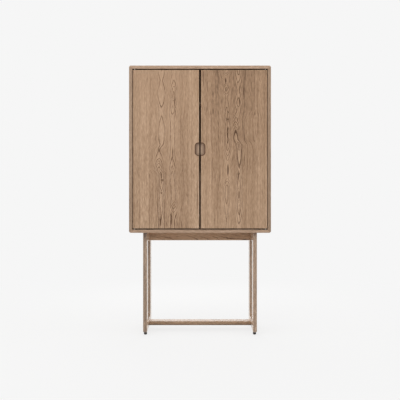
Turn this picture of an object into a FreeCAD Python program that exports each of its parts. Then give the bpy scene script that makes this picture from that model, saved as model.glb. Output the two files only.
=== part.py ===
import FreeCAD, Part
import math
import os

Vector = FreeCAD.Vector

# A two-door bar cabinet on a pair of loop-shaped side frames. Millimetres, +Z up, +X to the
# right of someone facing the doors, front towards -Y. The origin lies on the floor under the
# middle of the case.

# ---------------------------------------------------------------- case
CASE_WIDTH = 800.0
CASE_DEPTH = 450.0
CASE_HEIGHT = 943.0
BASE_HEIGHT = 583.0              # floor to the underside of the case
PANEL_THICKNESS = 18.0           # the four mitred boards and the boards housed in them
CASE_CORNER_RADIUS = 11.0        # outer corners, seen from the front
EASED_EDGE = 1.2                 # rounding of the arrises that a hand meets
BACK_THICKNESS = 6.0
BACK_SETBACK = 12.0              # rear edge of the case to the rear face of the back panel
GROOVE_DEPTH = 6.0
GROOVE_CLEARANCE = 0.2           # play between the back panel and each side of its groove
HOUSING_DEPTH = 4.0              # how far a shelf end is let into the board beside it

# ---------------------------------------------------------------- doors
DOOR_THICKNESS = 20.0
DOOR_SETBACK = 2.0               # front edge of the case to the front faces of the doors
DOOR_SIDE_GAP = 2.5
DOOR_END_GAP = 6.5
DOOR_CENTRE_GAP = 7.5
DOOR_HINGE_ROUND = 3.0           # front arris next to the pivots, rounded to turn in its gap
PULL_WIDTH = 60.0                # the oval that the two half pulls make together
PULL_HEIGHT = 76.0
PULL_RADIUS = 21.0
PULL_DEPTH = 13.0
CUP_CLEARANCE = 0.1
CUP_WALL = 1.5
CUP_LIP_WIDTH = 4.5              # flange that stands in over the cup, for the fingertips
CUP_LIP_THICKNESS = 2.0
INTERIOR_SETBACK = 8.0           # inner faces of the doors to the front edges of the shelves

# ---------------------------------------------------------------- door pivots and catches
PIVOT_FROM_EDGE = 10.0           # pivot axis to the door's outer edge
PIVOT_FROM_FACE = 7.0            # pivot axis to the door's front face
PIVOT_PIN_RADIUS = 2.5
PIVOT_CLEARANCE = 0.05           # radial, pin to hole
PIVOT_PIN_LENGTH = 14.5          # from the face of the case plate
PIVOT_TIP_ROOM = 1.5             # free depth past the end of the pin
PIVOT_PLATE_THICKNESS = 3.0
PIVOT_PLATE_WIDTH = 10.0
PIVOT_PLATE_LENGTH = 58.0
PIVOT_PLATE_OVERHANG = 5.0       # from the pivot axis to the plate's outer end
CATCH_FROM_CENTRE = 42.0
CATCH_WIDTH = 38.0
CATCH_DEPTH = 20.0
CATCH_HEIGHT = 14.0
CATCH_CORNER_RADIUS = 3.0
CATCH_TOUCH_GAP = 0.3
STRIKE_THICKNESS = 1.5
STRIKE_WIDTH = 34.0
STRIKE_HEIGHT = 9.0

# ---------------------------------------------------------------- inside the case
WORKTOP_HEIGHT = 919.0           # floor to the upper face of the worktop
UPPER_SHELF_HEIGHT = 1323.0      # floor to the upper face of the upper shelf
RACK_COLUMNS = 4
RACK_ROWS = 3
RACK_BOARD_THICKNESS = 9.0
RACK_DEPTH = 300.0
RACK_SETBACK = 12.0              # front edge of the worktop to the front edges of the rack
RACK_CLEARANCE = 0.4             # play round the loose rack
LAP_CLEARANCE = 0.1              # play on each side of a board in a half lap
SHELF_THICKNESS = 18.0           # the adjustable shelf
SHELF_SIDE_CLEARANCE = 1.0
SHELF_FRONT_SETBACK = 15.0
SHELF_PIN_RADIUS = 2.5
SHELF_PIN_FIT = 0.05
SHELF_PIN_INSERTION = 8.0
SHELF_PIN_REACH = 10.0
SHELF_PIN_SEAT_GAP = 0.1
SHELF_PIN_FROM_EDGE = 45.0       # shelf's front and rear edges to the pin rows
SHELF_PIN_PITCH = 32.0
SHELF_PIN_HOLES = 3
GLASS_RAIL_COUNT = 6
GLASS_RAIL_FROM_WALL = 107.0     # inner face of a case side to the middle of the nearest rail
GLASS_RAIL_FLANGE_WIDTH = 82.0
GLASS_RAIL_FLANGE_THICKNESS = 8.0
GLASS_RAIL_WEB_WIDTH = 14.0
GLASS_RAIL_HEIGHT = 34.0
GLASS_RAIL_FRONT_SETBACK = 14.0
GLASS_RAIL_REAR_GAP = 30.0
GLASS_RAIL_MOUTH_RADIUS = 26.0   # rounded front corners of a flange, which guide a glass in

# ---------------------------------------------------------------- fold-out shelf
LEAF_WIDTH = 260.0
LEAF_DEPTH = 220.0               # how far the shelf stands out when it is folded down
LEAF_THICKNESS = 16.0
LEAF_CORNER_RADIUS = 14.0
LEAF_FROM_EDGE = 35.0            # door's outer edge to the leaf
LEAF_HEIGHT = 1000.0             # floor to the upper face of the folded-out leaf
LEAF_STAND_OFF = 10.0            # door to the stowed leaf
LEAF_STOP_GAP = 0.3              # folded-out leaf to the door that it bears against
HINGE_WIDTH = 40.0
HINGE_FROM_LEAF_EDGE = 26.0      # leaf's side edge to the nearer edge of a hinge
HINGE_PLATE_THICKNESS = 2.0
HINGE_PLATE_HEIGHT = 26.0
HINGE_BARREL_RADIUS = 4.0
HINGE_PIN_RADIUS = 2.0
HINGE_PIN_CLEARANCE = 0.05
HINGE_KNUCKLE_GAP = 0.3
HINGE_MIDDLE_KNUCKLE = 15.0
HINGE_NOTCH_CLEARANCE = 1.0      # barrel to the plate edge that it turns past
LEAF_CATCH_WIDTH = 26.0
LEAF_CATCH_HEIGHT = 14.0
LEAF_CATCH_FROM_TOP = 14.0       # leaf's upper edge to the middle of the catch
LEAF_STRIKE_RADIUS = 6.0
LEAF_STRIKE_THICKNESS = 1.5
LEAF_STRIKE_FIT = 0.05           # radial play of the strike in its seat

# ---------------------------------------------------------------- swing-out bracket
BRACKET_LENGTH = 180.0           # pivot axis to the tip
BRACKET_HEIGHT = 56.0
BRACKET_TIP_HEIGHT = 20.0
BRACKET_THICKNESS = 16.0
BRACKET_HEEL_LENGTH = 34.0       # straight stretch next to the pivot, before the curve
BRACKET_TIP_RADIUS = 8.0
BRACKET_PIVOT_FROM_LEAF_EDGE = 112.0
BRACKET_DOOR_GAP = 4.0
BRACKET_LEAF_GAP = 0.3           # top of the arm to the lowest point of the leaf's swing
BRACKET_PIN_RADIUS = 2.5
BRACKET_PIN_CLEARANCE = 0.05
BRACKET_PIN_HEAD_RADIUS = 4.0
BRACKET_PIN_HEAD_HEIGHT = 2.0
BRACKET_LUG_THICKNESS = 3.0
BRACKET_LUG_DROP = 1.5           # top of the arm to the top of the upper lug
BRACKET_LUG_GAP = 0.5            # lug to the part of the arm that turns between the lugs
BRACKET_PLATE_THICKNESS = 2.0
BRACKET_SWING_ROOM = 4.0         # lug edge to the step in the arm

# ---------------------------------------------------------------- base
FRAME_INSET = 78.0               # side of the case to the outer face of a side frame
FRAME_SETBACK = 15.0             # front and rear of the case to the ends of a side frame
LEG_THICKNESS = 22.0
LEG_DEPTH = 95.0
RUNNER_HEIGHT = 38.0
TOP_RAIL_HEIGHT = 59.0
FRAME_INNER_RADIUS = 45.0        # lower inside corners of a side frame
FRAME_OUTER_RADIUS = 20.0        # lower outside corners of a side frame
FRAME_EASED_EDGE = 3.5
CROSS_RAIL_THICKNESS = 28.0
CROSS_RAIL_HEIGHT = 59.0
STRETCHER_WIDTH = 74.0
STRETCHER_THICKNESS = 24.0
STRETCHER_HEIGHT = 39.0          # floor to the middle of the stretcher
STRETCHER_EASED_EDGE = 7.0
TENON_LENGTH = 12.0
TENON_SHOULDER = 5.0
TENON_CLEARANCE = 0.1
GLIDE_HEIGHT = 16.0
GLIDE_RADIUS = 9.0
GLIDE_FOOT_RADIUS = 5.5
GLIDE_SHOULDER_RADIUS = 8.0
GLIDE_SHOULDER_HEIGHT = 1.4
GLIDE_TAPER_HEIGHT = 4.0
GLIDE_STEM_RADIUS = 3.0
GLIDE_STEM_LENGTH = 13.0
GLIDE_STEM_CLEARANCE = 0.05
GLIDE_FROM_END = 42.0            # end of a side frame to the middle of a glide
SCREW_RADIUS = 2.5
SCREW_CLEARANCE = 0.05
SCREW_HEAD_RADIUS = 5.0
SCREW_HEAD_HEIGHT = 3.5
SCREW_COUNTERBORE_RADIUS = 6.0
SCREW_COUNTERBORE_DEPTH = 20.0
SCREW_GRIP = 12.0                # length that bites into the case
SCREW_TIP_ROOM = 1.0
SIDE_SCREW_FROM_MIDDLE = 80.0
CROSS_SCREW_FROM_MIDDLE = 150.0

CUT_MARGIN = 5.0                 # how far cutting solids reach past what they cut

# ---------------------------------------------------------------- places worked out from these
CASE_TOP = BASE_HEIGHT + CASE_HEIGHT
CASE_FRONT = -CASE_DEPTH / 2
CASE_REAR = CASE_DEPTH / 2
INNER_SIDE = CASE_WIDTH / 2 - PANEL_THICKNESS
INNER_BOTTOM = BASE_HEIGHT + PANEL_THICKNESS
INNER_TOP = CASE_TOP - PANEL_THICKNESS
BACK_REAR = CASE_REAR - BACK_SETBACK
BACK_FRONT = BACK_REAR - BACK_THICKNESS

DOOR_FRONT = CASE_FRONT + DOOR_SETBACK
DOOR_REAR = DOOR_FRONT + DOOR_THICKNESS
DOOR_OUTER = INNER_SIDE - DOOR_SIDE_GAP
DOOR_FREE = DOOR_CENTRE_GAP / 2
DOOR_BOTTOM = INNER_BOTTOM + DOOR_END_GAP
DOOR_TOP = INNER_TOP - DOOR_END_GAP
PULL_MIDDLE = (DOOR_BOTTOM + DOOR_TOP) / 2
PIVOT_X = DOOR_OUTER - PIVOT_FROM_EDGE
PIVOT_Y = DOOR_FRONT + PIVOT_FROM_FACE
INTERIOR_FRONT = DOOR_REAR + INTERIOR_SETBACK

WORKTOP_BOTTOM = WORKTOP_HEIGHT - PANEL_THICKNESS
UPPER_SHELF_BOTTOM = UPPER_SHELF_HEIGHT - PANEL_THICKNESS
PARTITION_HALF = PANEL_THICKNESS / 2
RACK_FRONT = INTERIOR_FRONT + RACK_SETBACK
RACK_REAR = RACK_FRONT + RACK_DEPTH
RACK_MIDDLE = (RACK_FRONT + RACK_REAR) / 2
RACK_PITCH_X = (INNER_SIDE - PARTITION_HALF) / RACK_COLUMNS
RACK_PITCH_Z = (WORKTOP_BOTTOM - INNER_BOTTOM) / RACK_ROWS
PIN_ROW_MIDDLE = (INNER_BOTTOM + WORKTOP_BOTTOM) / 2 - SHELF_THICKNESS / 2
SHELF_BOTTOM = PIN_ROW_MIDDLE + SHELF_PIN_RADIUS + SHELF_PIN_SEAT_GAP
SHELF_FRONT = INTERIOR_FRONT + SHELF_FRONT_SETBACK
GLASS_RAIL_PITCH = 2 * (INNER_SIDE - GLASS_RAIL_FROM_WALL) / (GLASS_RAIL_COUNT - 1)
GLASS_RAIL_BOTTOM = UPPER_SHELF_BOTTOM - GLASS_RAIL_HEIGHT
GLASS_RAIL_FRONT = INTERIOR_FRONT + GLASS_RAIL_FRONT_SETBACK
GLASS_RAIL_REAR = BACK_FRONT - GLASS_RAIL_REAR_GAP

LEAF_RIGHT = DOOR_OUTER - LEAF_FROM_EDGE
LEAF_LEFT = LEAF_RIGHT - LEAF_WIDTH
HINGE_Y = DOOR_REAR + LEAF_STAND_OFF / 2
HINGE_Z = LEAF_HEIGHT + LEAF_STAND_OFF / 2
LEAF_NEAR = DOOR_REAR + LEAF_STAND_OFF
LEAF_FAR = LEAF_NEAR + LEAF_THICKNESS
LEAF_BOTTOM = HINGE_Z - LEAF_STAND_OFF / 2 + LEAF_STOP_GAP
LEAF_TOP = LEAF_BOTTOM + LEAF_DEPTH
LEAF_HEEL_SWING = math.hypot(LEAF_FAR - HINGE_Y, LEAF_BOTTOM - HINGE_Z)
BRACKET_TOP = HINGE_Z - LEAF_HEEL_SWING - BRACKET_LEAF_GAP
BRACKET_BOTTOM = BRACKET_TOP - BRACKET_HEIGHT
BRACKET_X = LEAF_RIGHT - BRACKET_PIVOT_FROM_LEAF_EDGE
BRACKET_Y = DOOR_REAR + BRACKET_DOOR_GAP + BRACKET_THICKNESS / 2
LUG_TOP = BRACKET_TOP - BRACKET_LUG_DROP
LUG_BOTTOM = BRACKET_BOTTOM + BRACKET_LUG_DROP

FRAME_OUTER = CASE_WIDTH / 2 - FRAME_INSET
FRAME_INNER = FRAME_OUTER - LEG_THICKNESS
FRAME_CENTRE = (FRAME_OUTER + FRAME_INNER) / 2
FRAME_END = CASE_DEPTH / 2 - FRAME_SETBACK
LEG_INNER_END = FRAME_END - LEG_DEPTH
RUNNER_TOP = GLIDE_HEIGHT + RUNNER_HEIGHT
RAIL_BOTTOM = BASE_HEIGHT - TOP_RAIL_HEIGHT
CROSS_RAIL_BOTTOM = BASE_HEIGHT - CROSS_RAIL_HEIGHT


# ---------------------------------------------------------------- drawing and solid helpers
def front_view(across, up):
    """Point in the plane that faces the doors."""
    return Vector(across, 0, up)


def side_view(back, up):
    """Point in the plane that faces a side of the cabinet."""
    return Vector(0, back, up)


def plan_view(across, back):
    """Point in the horizontal plane."""
    return Vector(across, back, 0)


NORMALS = {front_view: Vector(0, 1, 0), side_view: Vector(1, 0, 0), plan_view: Vector(0, 0, 1)}


def rectangle(low, high, radius=0.0):
    """Corners of a rectangle: one radius for all, or four from the low corner round."""
    radii = radius if isinstance(radius, tuple) else (radius,) * 4
    places = [(low[0], low[1]), (high[0], low[1]), (high[0], high[1]), (low[0], high[1])]
    return [(place[0], place[1], size) for place, size in zip(places, radii)]


def outline(corners, view):
    """Closed wire through corners given as (u, v, radius)."""
    starts, middles, ends = [], [], []
    for index, (u, v, radius) in enumerate(corners):
        before = corners[index - 1]
        after = corners[(index + 1) % len(corners)]
        corner = Vector(u, v, 0)
        to_before = (Vector(before[0], before[1], 0) - corner).normalize()
        to_after = (Vector(after[0], after[1], 0) - corner).normalize()
        half_turn = to_before.getAngle(to_after) / 2
        reach = radius / math.tan(half_turn)
        inward = (to_before + to_after).normalize() if radius else Vector()
        starts.append(corner + to_before * reach)
        ends.append(corner + to_after * reach)
        middles.append(corner + inward * (radius / math.sin(half_turn) - radius))
    edges = []
    for index, (u, v, radius) in enumerate(corners):
        start, middle, end = [view(p.x, p.y) for p in (starts[index], middles[index], ends[index])]
        if radius:
            edges.append(Part.Arc(start, middle, end).toShape())
        following = starts[(index + 1) % len(corners)]
        following = view(following.x, following.y)
        if (following - end).Length > 1e-6:
            edges.append(Part.LineSegment(end, following).toShape())
    return Part.Wire(edges)


def slab(corners, view, start, end):
    """Flat board of the given outline, from one offset to another along the view's normal."""
    normal = NORMALS[view]
    face = Part.Face(outline(corners, view))
    face.translate(normal * start)
    return face.extrude(normal * (end - start))


def block(low, high):
    """Box between two opposite corners."""
    sides = [high[axis] - low[axis] for axis in range(3)]
    return Part.makeBox(*sides, Vector(*low))


def rod(radius, start, end):
    """Round bar between two points."""
    start, end = Vector(*start), Vector(*end)
    return Part.makeCylinder(radius, (end - start).Length, start, end - start)


def grown(low, high, clearance):
    """The two corners of a box, moved out by a clearance."""
    return [value - clearance for value in low], [value + clearance for value in high]


def board(x_span, z_span, front, rear):
    """Horizontal board across the case with an eased front edge."""
    eased = (EASED_EDGE, 0.0, 0.0, EASED_EDGE)
    corners = rectangle((front, z_span[0]), (rear, z_span[1]), eased)
    return slab(corners, side_view, x_span[0], x_span[1])


def upright(x_span, z_span, front, rear):
    """Vertical board that runs back into the case, with an eased front edge."""
    eased = (EASED_EDGE, EASED_EDGE, 0.0, 0.0)
    corners = rectangle((x_span[0], front), (x_span[1], rear), eased)
    return slab(corners, plan_view, z_span[0], z_span[1])


def mirrored(shape):
    """The same shape on the other side of the cabinet."""
    return shape.mirror(Vector(0, 0, 0), Vector(1, 0, 0))


# ---------------------------------------------------------------- case
def side_pin_places():
    """Heights and depths of the holes that can hold a shelf pin."""
    middle = (SHELF_PIN_HOLES - 1) / 2
    heights = [PIN_ROW_MIDDLE + (index - middle) * SHELF_PIN_PITCH for index in range(SHELF_PIN_HOLES)]
    depths = [SHELF_FRONT + SHELF_PIN_FROM_EDGE, BACK_FRONT - SHELF_PIN_FROM_EDGE]
    return heights, depths


def pin_holes(wall_x, inward):
    """Two rows of shelf pin holes in a wall whose face lies at wall_x."""
    heights, depths = side_pin_places()
    mouth = wall_x + inward * CUT_MARGIN
    bottom = wall_x - inward * (SHELF_PIN_INSERTION + SHELF_PIN_SEAT_GAP)
    radius = SHELF_PIN_RADIUS + SHELF_PIN_FIT
    return [rod(radius, (mouth, y, z), (bottom, y, z)) for y in depths for z in heights]


def pivot_plate(face_z, out):
    """Plate of a right-hand door pivot, let in flush at face_z; out is +1 or -1 along Z."""
    low = (PIVOT_X + PIVOT_PLATE_OVERHANG - PIVOT_PLATE_LENGTH, PIVOT_Y - PIVOT_PLATE_WIDTH / 2)
    high = (PIVOT_X + PIVOT_PLATE_OVERHANG, PIVOT_Y + PIVOT_PLATE_WIDTH / 2)
    corners = rectangle(low, high, PIVOT_PLATE_WIDTH / 2 - EASED_EDGE)
    ends = sorted((face_z, face_z - out * PIVOT_PLATE_THICKNESS))
    return slab(corners, plan_view, ends[0], ends[1])


def case_ring():
    """The four boards of the case as one ring, with the groove for the back panel."""
    half, inner = CASE_WIDTH / 2, INNER_SIDE
    outer = rectangle((-half, BASE_HEIGHT), (half, CASE_TOP), CASE_CORNER_RADIUS)
    hollow = rectangle((-inner, INNER_BOTTOM), (inner, INNER_TOP))
    ring = slab(outer, front_view, CASE_FRONT, CASE_REAR)
    ring = ring.cut(slab(hollow, front_view, CASE_FRONT, CASE_REAR))
    front_edges = [edge for edge in ring.Edges if edge.BoundBox.YMax < CASE_FRONT + EASED_EDGE]
    ring = ring.makeFillet(EASED_EDGE, front_edges)
    groove = rectangle((-inner - GROOVE_DEPTH, INNER_BOTTOM - GROOVE_DEPTH),
                       (inner + GROOVE_DEPTH, INNER_TOP + GROOVE_DEPTH))
    span = BACK_FRONT - GROOVE_CLEARANCE, BACK_REAR + GROOVE_CLEARANCE
    return ring.cut(slab(groove, front_view, span[0], span[1]))


def mitre_wedge(side, end):
    """Solid that takes one board out of the ring; side and end pick right, left, top or bottom."""
    middle = (BASE_HEIGHT + CASE_TOP) / 2
    outer_x, outer_z = CASE_WIDTH / 2 + CUT_MARGIN, CASE_HEIGHT / 2 + CUT_MARGIN
    inset = PANEL_THICKNESS + 2 * CUT_MARGIN
    inner_x, inner_z = outer_x - inset, outer_z - inset
    if end:
        corners = [(-outer_x, end * outer_z), (outer_x, end * outer_z),
                   (inner_x, end * inner_z), (-inner_x, end * inner_z)]
    else:
        corners = [(side * outer_x, -outer_z), (side * outer_x, outer_z),
                   (side * inner_x, inner_z), (side * inner_x, -inner_z)]
    corners = [(x, middle + z, 0.0) for x, z in corners]
    return slab(corners, front_view, CASE_FRONT - CUT_MARGIN, CASE_REAR + CUT_MARGIN)


def housed_board(top, front):
    """Full-width board whose ends are let into the case sides."""
    reach = INNER_SIDE + HOUSING_DEPTH
    return board((-reach, reach), (top - PANEL_THICKNESS, top), front, BACK_FRONT)


def partition_box():
    """Corners of the upright board below the worktop, with its ends in their housings."""
    low = (-PARTITION_HALF, INTERIOR_FRONT, INNER_BOTTOM - HOUSING_DEPTH)
    high = (PARTITION_HALF, BACK_FRONT, WORKTOP_BOTTOM + HOUSING_DEPTH)
    return low, high


def build_case():
    """The mitred case, its back and the boards that are fixed in it."""
    ring = case_ring()
    worktop = housed_board(WORKTOP_HEIGHT, INTERIOR_FRONT)
    upper_shelf = housed_board(UPPER_SHELF_HEIGHT, INTERIOR_FRONT)
    low, high = partition_box()
    partition = upright((low[0], high[0]), (low[2], high[2]), low[1], high[1])

    right_holes = pin_holes(INNER_SIDE, -1)
    screws = [screw_bore(x, y) for x, y in screw_places()]
    top_plate = pivot_plate(INNER_TOP, -1)
    bottom_plate = pivot_plate(INNER_BOTTOM, 1)
    top = ring.common(mitre_wedge(0, 1)).cut([top_plate, mirrored(top_plate)])
    bottom = ring.common(mitre_wedge(0, -1))
    bottom = bottom.cut([bottom_plate, mirrored(bottom_plate), partition] + screws)
    shelves = [worktop, upper_shelf]

    reach = GROOVE_DEPTH - GROOVE_CLEARANCE
    back = block((-INNER_SIDE - reach, BACK_FRONT, INNER_BOTTOM - reach),
                 (INNER_SIDE + reach, BACK_REAR, INNER_TOP + reach))
    return {
        "case_top": top,
        "case_bottom": bottom,
        "case_left": ring.common(mitre_wedge(-1, 0)).cut(shelves),
        "case_right": ring.common(mitre_wedge(1, 0)).cut(shelves + right_holes),
        "back_panel": back,
        "worktop": worktop.cut(partition),
        "upper_shelf": upper_shelf,
        "centre_partition": partition.cut(pin_holes(PARTITION_HALF, 1)),
    }


# ---------------------------------------------------------------- bottle rack, shelf, glass rails
def rack_uprights_x():
    """Middles of the rack's upright boards."""
    return [-INNER_SIDE + RACK_PITCH_X * index for index in range(1, RACK_COLUMNS)]


def rack_shelves_z():
    """Middles of the rack's level boards."""
    return [INNER_BOTTOM + RACK_PITCH_Z * index for index in range(1, RACK_ROWS)]


def build_bottle_rack():
    """Loose rack: uprights slotted from the front, level boards slotted from the rear."""
    half = RACK_BOARD_THICKNESS / 2
    slot = half + LAP_CLEARANCE
    nodes = {}
    for number, x in enumerate(rack_uprights_x(), 1):
        z_span = (INNER_BOTTOM, WORKTOP_BOTTOM - RACK_CLEARANCE)
        divider = upright((x - half, x + half), z_span, RACK_FRONT, RACK_REAR)
        slots = [block((x - half - CUT_MARGIN, RACK_FRONT - CUT_MARGIN, z - slot),
                       (x + half + CUT_MARGIN, RACK_MIDDLE, z + slot)) for z in rack_shelves_z()]
        nodes[f"rack_divider_{number}"] = divider.cut(slots)
    for number, z in enumerate(rack_shelves_z(), 1):
        x_span = (-INNER_SIDE + RACK_CLEARANCE, -PARTITION_HALF - RACK_CLEARANCE)
        level = board(x_span, (z - half, z + half), RACK_FRONT, RACK_REAR)
        slots = [block((x - slot, RACK_MIDDLE, z - half - CUT_MARGIN),
                       (x + slot, RACK_REAR + CUT_MARGIN, z + half + CUT_MARGIN))
                 for x in rack_uprights_x()]
        nodes[f"rack_shelf_{number}"] = level.cut(slots)
    return nodes


def build_adjustable_shelf():
    """Shelf beside the rack, on four pins in the middle holes."""
    shelf = board((PARTITION_HALF + SHELF_SIDE_CLEARANCE, INNER_SIDE - SHELF_SIDE_CLEARANCE),
                  (SHELF_BOTTOM, SHELF_BOTTOM + SHELF_THICKNESS), SHELF_FRONT,
                  BACK_FRONT - SHELF_SIDE_CLEARANCE)
    pins = []
    for y in side_pin_places()[1]:
        for wall_x, inward in ((PARTITION_HALF, 1), (INNER_SIDE, -1)):
            ends = [(wall_x + inward * reach, y, PIN_ROW_MIDDLE)
                    for reach in (-SHELF_PIN_INSERTION, SHELF_PIN_REACH)]
            pins.append(rod(SHELF_PIN_RADIUS, ends[0], ends[1]))
    return {"adjustable_shelf": shelf, "shelf_pins": Part.makeCompound(pins)}


def build_glass_rails():
    """T-shaped rails under the upper shelf, between which stemware hangs by its foot."""
    nodes = {}
    flange_top = GLASS_RAIL_BOTTOM + GLASS_RAIL_FLANGE_THICKNESS
    for index in range(GLASS_RAIL_COUNT):
        x = (index - (GLASS_RAIL_COUNT - 1) / 2) * GLASS_RAIL_PITCH
        half_flange, half_web = GLASS_RAIL_FLANGE_WIDTH / 2, GLASS_RAIL_WEB_WIDTH / 2
        mouth = (GLASS_RAIL_MOUTH_RADIUS, GLASS_RAIL_MOUTH_RADIUS, 0.0, 0.0)
        corners = rectangle((x - half_flange, GLASS_RAIL_FRONT),
                            (x + half_flange, GLASS_RAIL_REAR), mouth)
        flange = slab(corners, plan_view, GLASS_RAIL_BOTTOM, flange_top)
        web = block((x - half_web, GLASS_RAIL_FRONT, flange_top),
                    (x + half_web, GLASS_RAIL_REAR, UPPER_SHELF_BOTTOM))
        nodes[f"glass_rail_{index + 1}"] = flange.fuse(web).removeSplitter()
    return nodes


# ---------------------------------------------------------------- doors, pulls, pivots, catches
def pull_corners(inset):
    """Outline of the whole oval pull, drawn in by an inset."""
    half_width, half_height = PULL_WIDTH / 2 - inset, PULL_HEIGHT / 2 - inset
    return rectangle((-half_width, PULL_MIDDLE - half_height), (half_width, PULL_MIDDLE + half_height),
                     PULL_RADIUS - inset)


def pull_cup():
    """Pressed cup in the right-hand door: half an oval, open towards the other door."""
    lip_rear = DOOR_FRONT + CUP_LIP_THICKNESS
    floor_front = DOOR_FRONT + PULL_DEPTH - CUP_WALL
    body = slab(pull_corners(CUP_CLEARANCE), front_view, DOOR_FRONT, DOOR_FRONT + PULL_DEPTH)
    cavity = slab(pull_corners(CUP_CLEARANCE + CUP_WALL), front_view, lip_rear, floor_front)
    mouth = slab(pull_corners(CUP_LIP_WIDTH), front_view, DOOR_FRONT - CUT_MARGIN, lip_rear)
    keep = block((DOOR_FREE, DOOR_FRONT - CUT_MARGIN, DOOR_BOTTOM), (DOOR_OUTER, DOOR_REAR, DOOR_TOP))
    return body.cut([cavity, mouth]).common(keep)


def pivot_pins():
    """Right-hand pivot pins, from the plates in the case into the door."""
    return [rod(PIVOT_PIN_RADIUS, (PIVOT_X, PIVOT_Y, INNER_BOTTOM),
                (PIVOT_X, PIVOT_Y, INNER_BOTTOM + PIVOT_PIN_LENGTH)),
            rod(PIVOT_PIN_RADIUS, (PIVOT_X, PIVOT_Y, INNER_TOP),
                (PIVOT_X, PIVOT_Y, INNER_TOP - PIVOT_PIN_LENGTH))]


def pivot_bores():
    """Right-hand pivot holes, a little deeper than the pins reach."""
    depth = PIVOT_PIN_LENGTH + PIVOT_TIP_ROOM
    radius = PIVOT_PIN_RADIUS + PIVOT_CLEARANCE
    return [rod(radius, (PIVOT_X, PIVOT_Y, INNER_BOTTOM), (PIVOT_X, PIVOT_Y, INNER_BOTTOM + depth)),
            rod(radius, (PIVOT_X, PIVOT_Y, INNER_TOP), (PIVOT_X, PIVOT_Y, INNER_TOP - depth))]


def door_panel():
    """Right-hand door: eased outline, finger recess, and seats for plates and pins."""
    plan = rectangle((DOOR_FREE, DOOR_FRONT), (DOOR_OUTER, DOOR_REAR),
                     (EASED_EDGE, DOOR_HINGE_ROUND, EASED_EDGE, EASED_EDGE))
    profile = rectangle((DOOR_FRONT, DOOR_BOTTOM), (DOOR_REAR, DOOR_TOP), EASED_EDGE)
    panel = slab(plan, plan_view, DOOR_BOTTOM, DOOR_TOP)
    panel = panel.common(slab(profile, side_view, DOOR_FREE, DOOR_OUTER))
    recess = slab(pull_corners(0.0), front_view, DOOR_FRONT - CUT_MARGIN, DOOR_FRONT + PULL_DEPTH)
    plates = [pivot_plate(DOOR_BOTTOM, -1), pivot_plate(DOOR_TOP, 1)]
    return panel.cut([recess] + plates + pivot_bores())


def build_door(name, hand):
    """One door with its pull cup, pivot plates and strike; hand places it left or right."""
    plates = [pivot_plate(DOOR_BOTTOM, -1), pivot_plate(DOOR_TOP, 1)]
    plates = [plate.cut(pivot_bores()) for plate in plates]
    strike_low = (CATCH_FROM_CENTRE - STRIKE_WIDTH / 2, DOOR_TOP - EASED_EDGE - STRIKE_HEIGHT)
    strike_high = (CATCH_FROM_CENTRE + STRIKE_WIDTH / 2, DOOR_TOP - EASED_EDGE)
    strike = slab(rectangle(strike_low, strike_high, EASED_EDGE), front_view,
                  DOOR_REAR, DOOR_REAR + STRIKE_THICKNESS)
    return {
        f"{name}_door_panel": hand(door_panel()),
        f"{name}_pull_cup": hand(pull_cup()),
        f"{name}_door_pivot_plates": hand(Part.makeCompound(plates)),
        f"{name}_door_strike": hand(strike),
    }


def build_case_hardware():
    """Pivot plates with their pins, and the magnetic catches, all fixed in the case."""
    plates = [pivot_plate(INNER_BOTTOM, 1), pivot_plate(INNER_TOP, -1)]
    right = [plate.fuse(pin) for plate, pin in zip(plates, pivot_pins())]
    front = DOOR_REAR + STRIKE_THICKNESS + CATCH_TOUCH_GAP
    low = (CATCH_FROM_CENTRE - CATCH_WIDTH / 2, front)
    high = (CATCH_FROM_CENTRE + CATCH_WIDTH / 2, front + CATCH_DEPTH)
    catch = slab(rectangle(low, high, CATCH_CORNER_RADIUS), plan_view, INNER_TOP - CATCH_HEIGHT, INNER_TOP)
    return {
        "case_pivot_plates": Part.makeCompound(right + [mirrored(plate) for plate in right]),
        "catch_magnets": Part.makeCompound([catch, mirrored(catch)]),
    }


# ---------------------------------------------------------------- fold-out shelf on the right door
def hinge_lefts():
    """Left edges of the two leaf hinges."""
    return [LEAF_LEFT + HINGE_FROM_LEAF_EDGE, LEAF_RIGHT - HINGE_FROM_LEAF_EDGE - HINGE_WIDTH]


def hinge_plate(left, near_door):
    """One plate of a leaf hinge with its knuckles; the door's plate has the two outer ones."""
    right = left + HINGE_WIDTH
    middle = (left + right) / 2
    half_middle = HINGE_MIDDLE_KNUCKLE / 2
    outer_end = half_middle + HINGE_KNUCKLE_GAP
    if near_door:
        rear = DOOR_REAR + HINGE_PLATE_THICKNESS
        plate_span = (DOOR_REAR, rear)
        knuckles = [(left, middle - outer_end), (middle + outer_end, right)]
    else:
        plate_span = (LEAF_NEAR - HINGE_PLATE_THICKNESS, LEAF_NEAR)
        knuckles = [(middle - half_middle, middle + half_middle)]
    free_edge = HINGE_Z + HINGE_BARREL_RADIUS + HINGE_NOTCH_CLEARANCE
    corners = rectangle((left, free_edge), (right, HINGE_Z + HINGE_PLATE_HEIGHT),
                        (0.0, 0.0, HINGE_PLATE_THICKNESS, HINGE_PLATE_THICKNESS))
    plate = slab(corners, front_view, plate_span[0], plate_span[1])
    pieces = []
    for start, end in knuckles:
        pieces.append(rod(HINGE_BARREL_RADIUS, (start, HINGE_Y, HINGE_Z), (end, HINGE_Y, HINGE_Z)))
        pieces.append(block((start, plate_span[0], HINGE_Z), (end, plate_span[1], free_edge)))
    bore = rod(HINGE_PIN_RADIUS + HINGE_PIN_CLEARANCE, (left, HINGE_Y, HINGE_Z), (right, HINGE_Y, HINGE_Z))
    return plate.fuse(pieces).removeSplitter().cut(bore)


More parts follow.
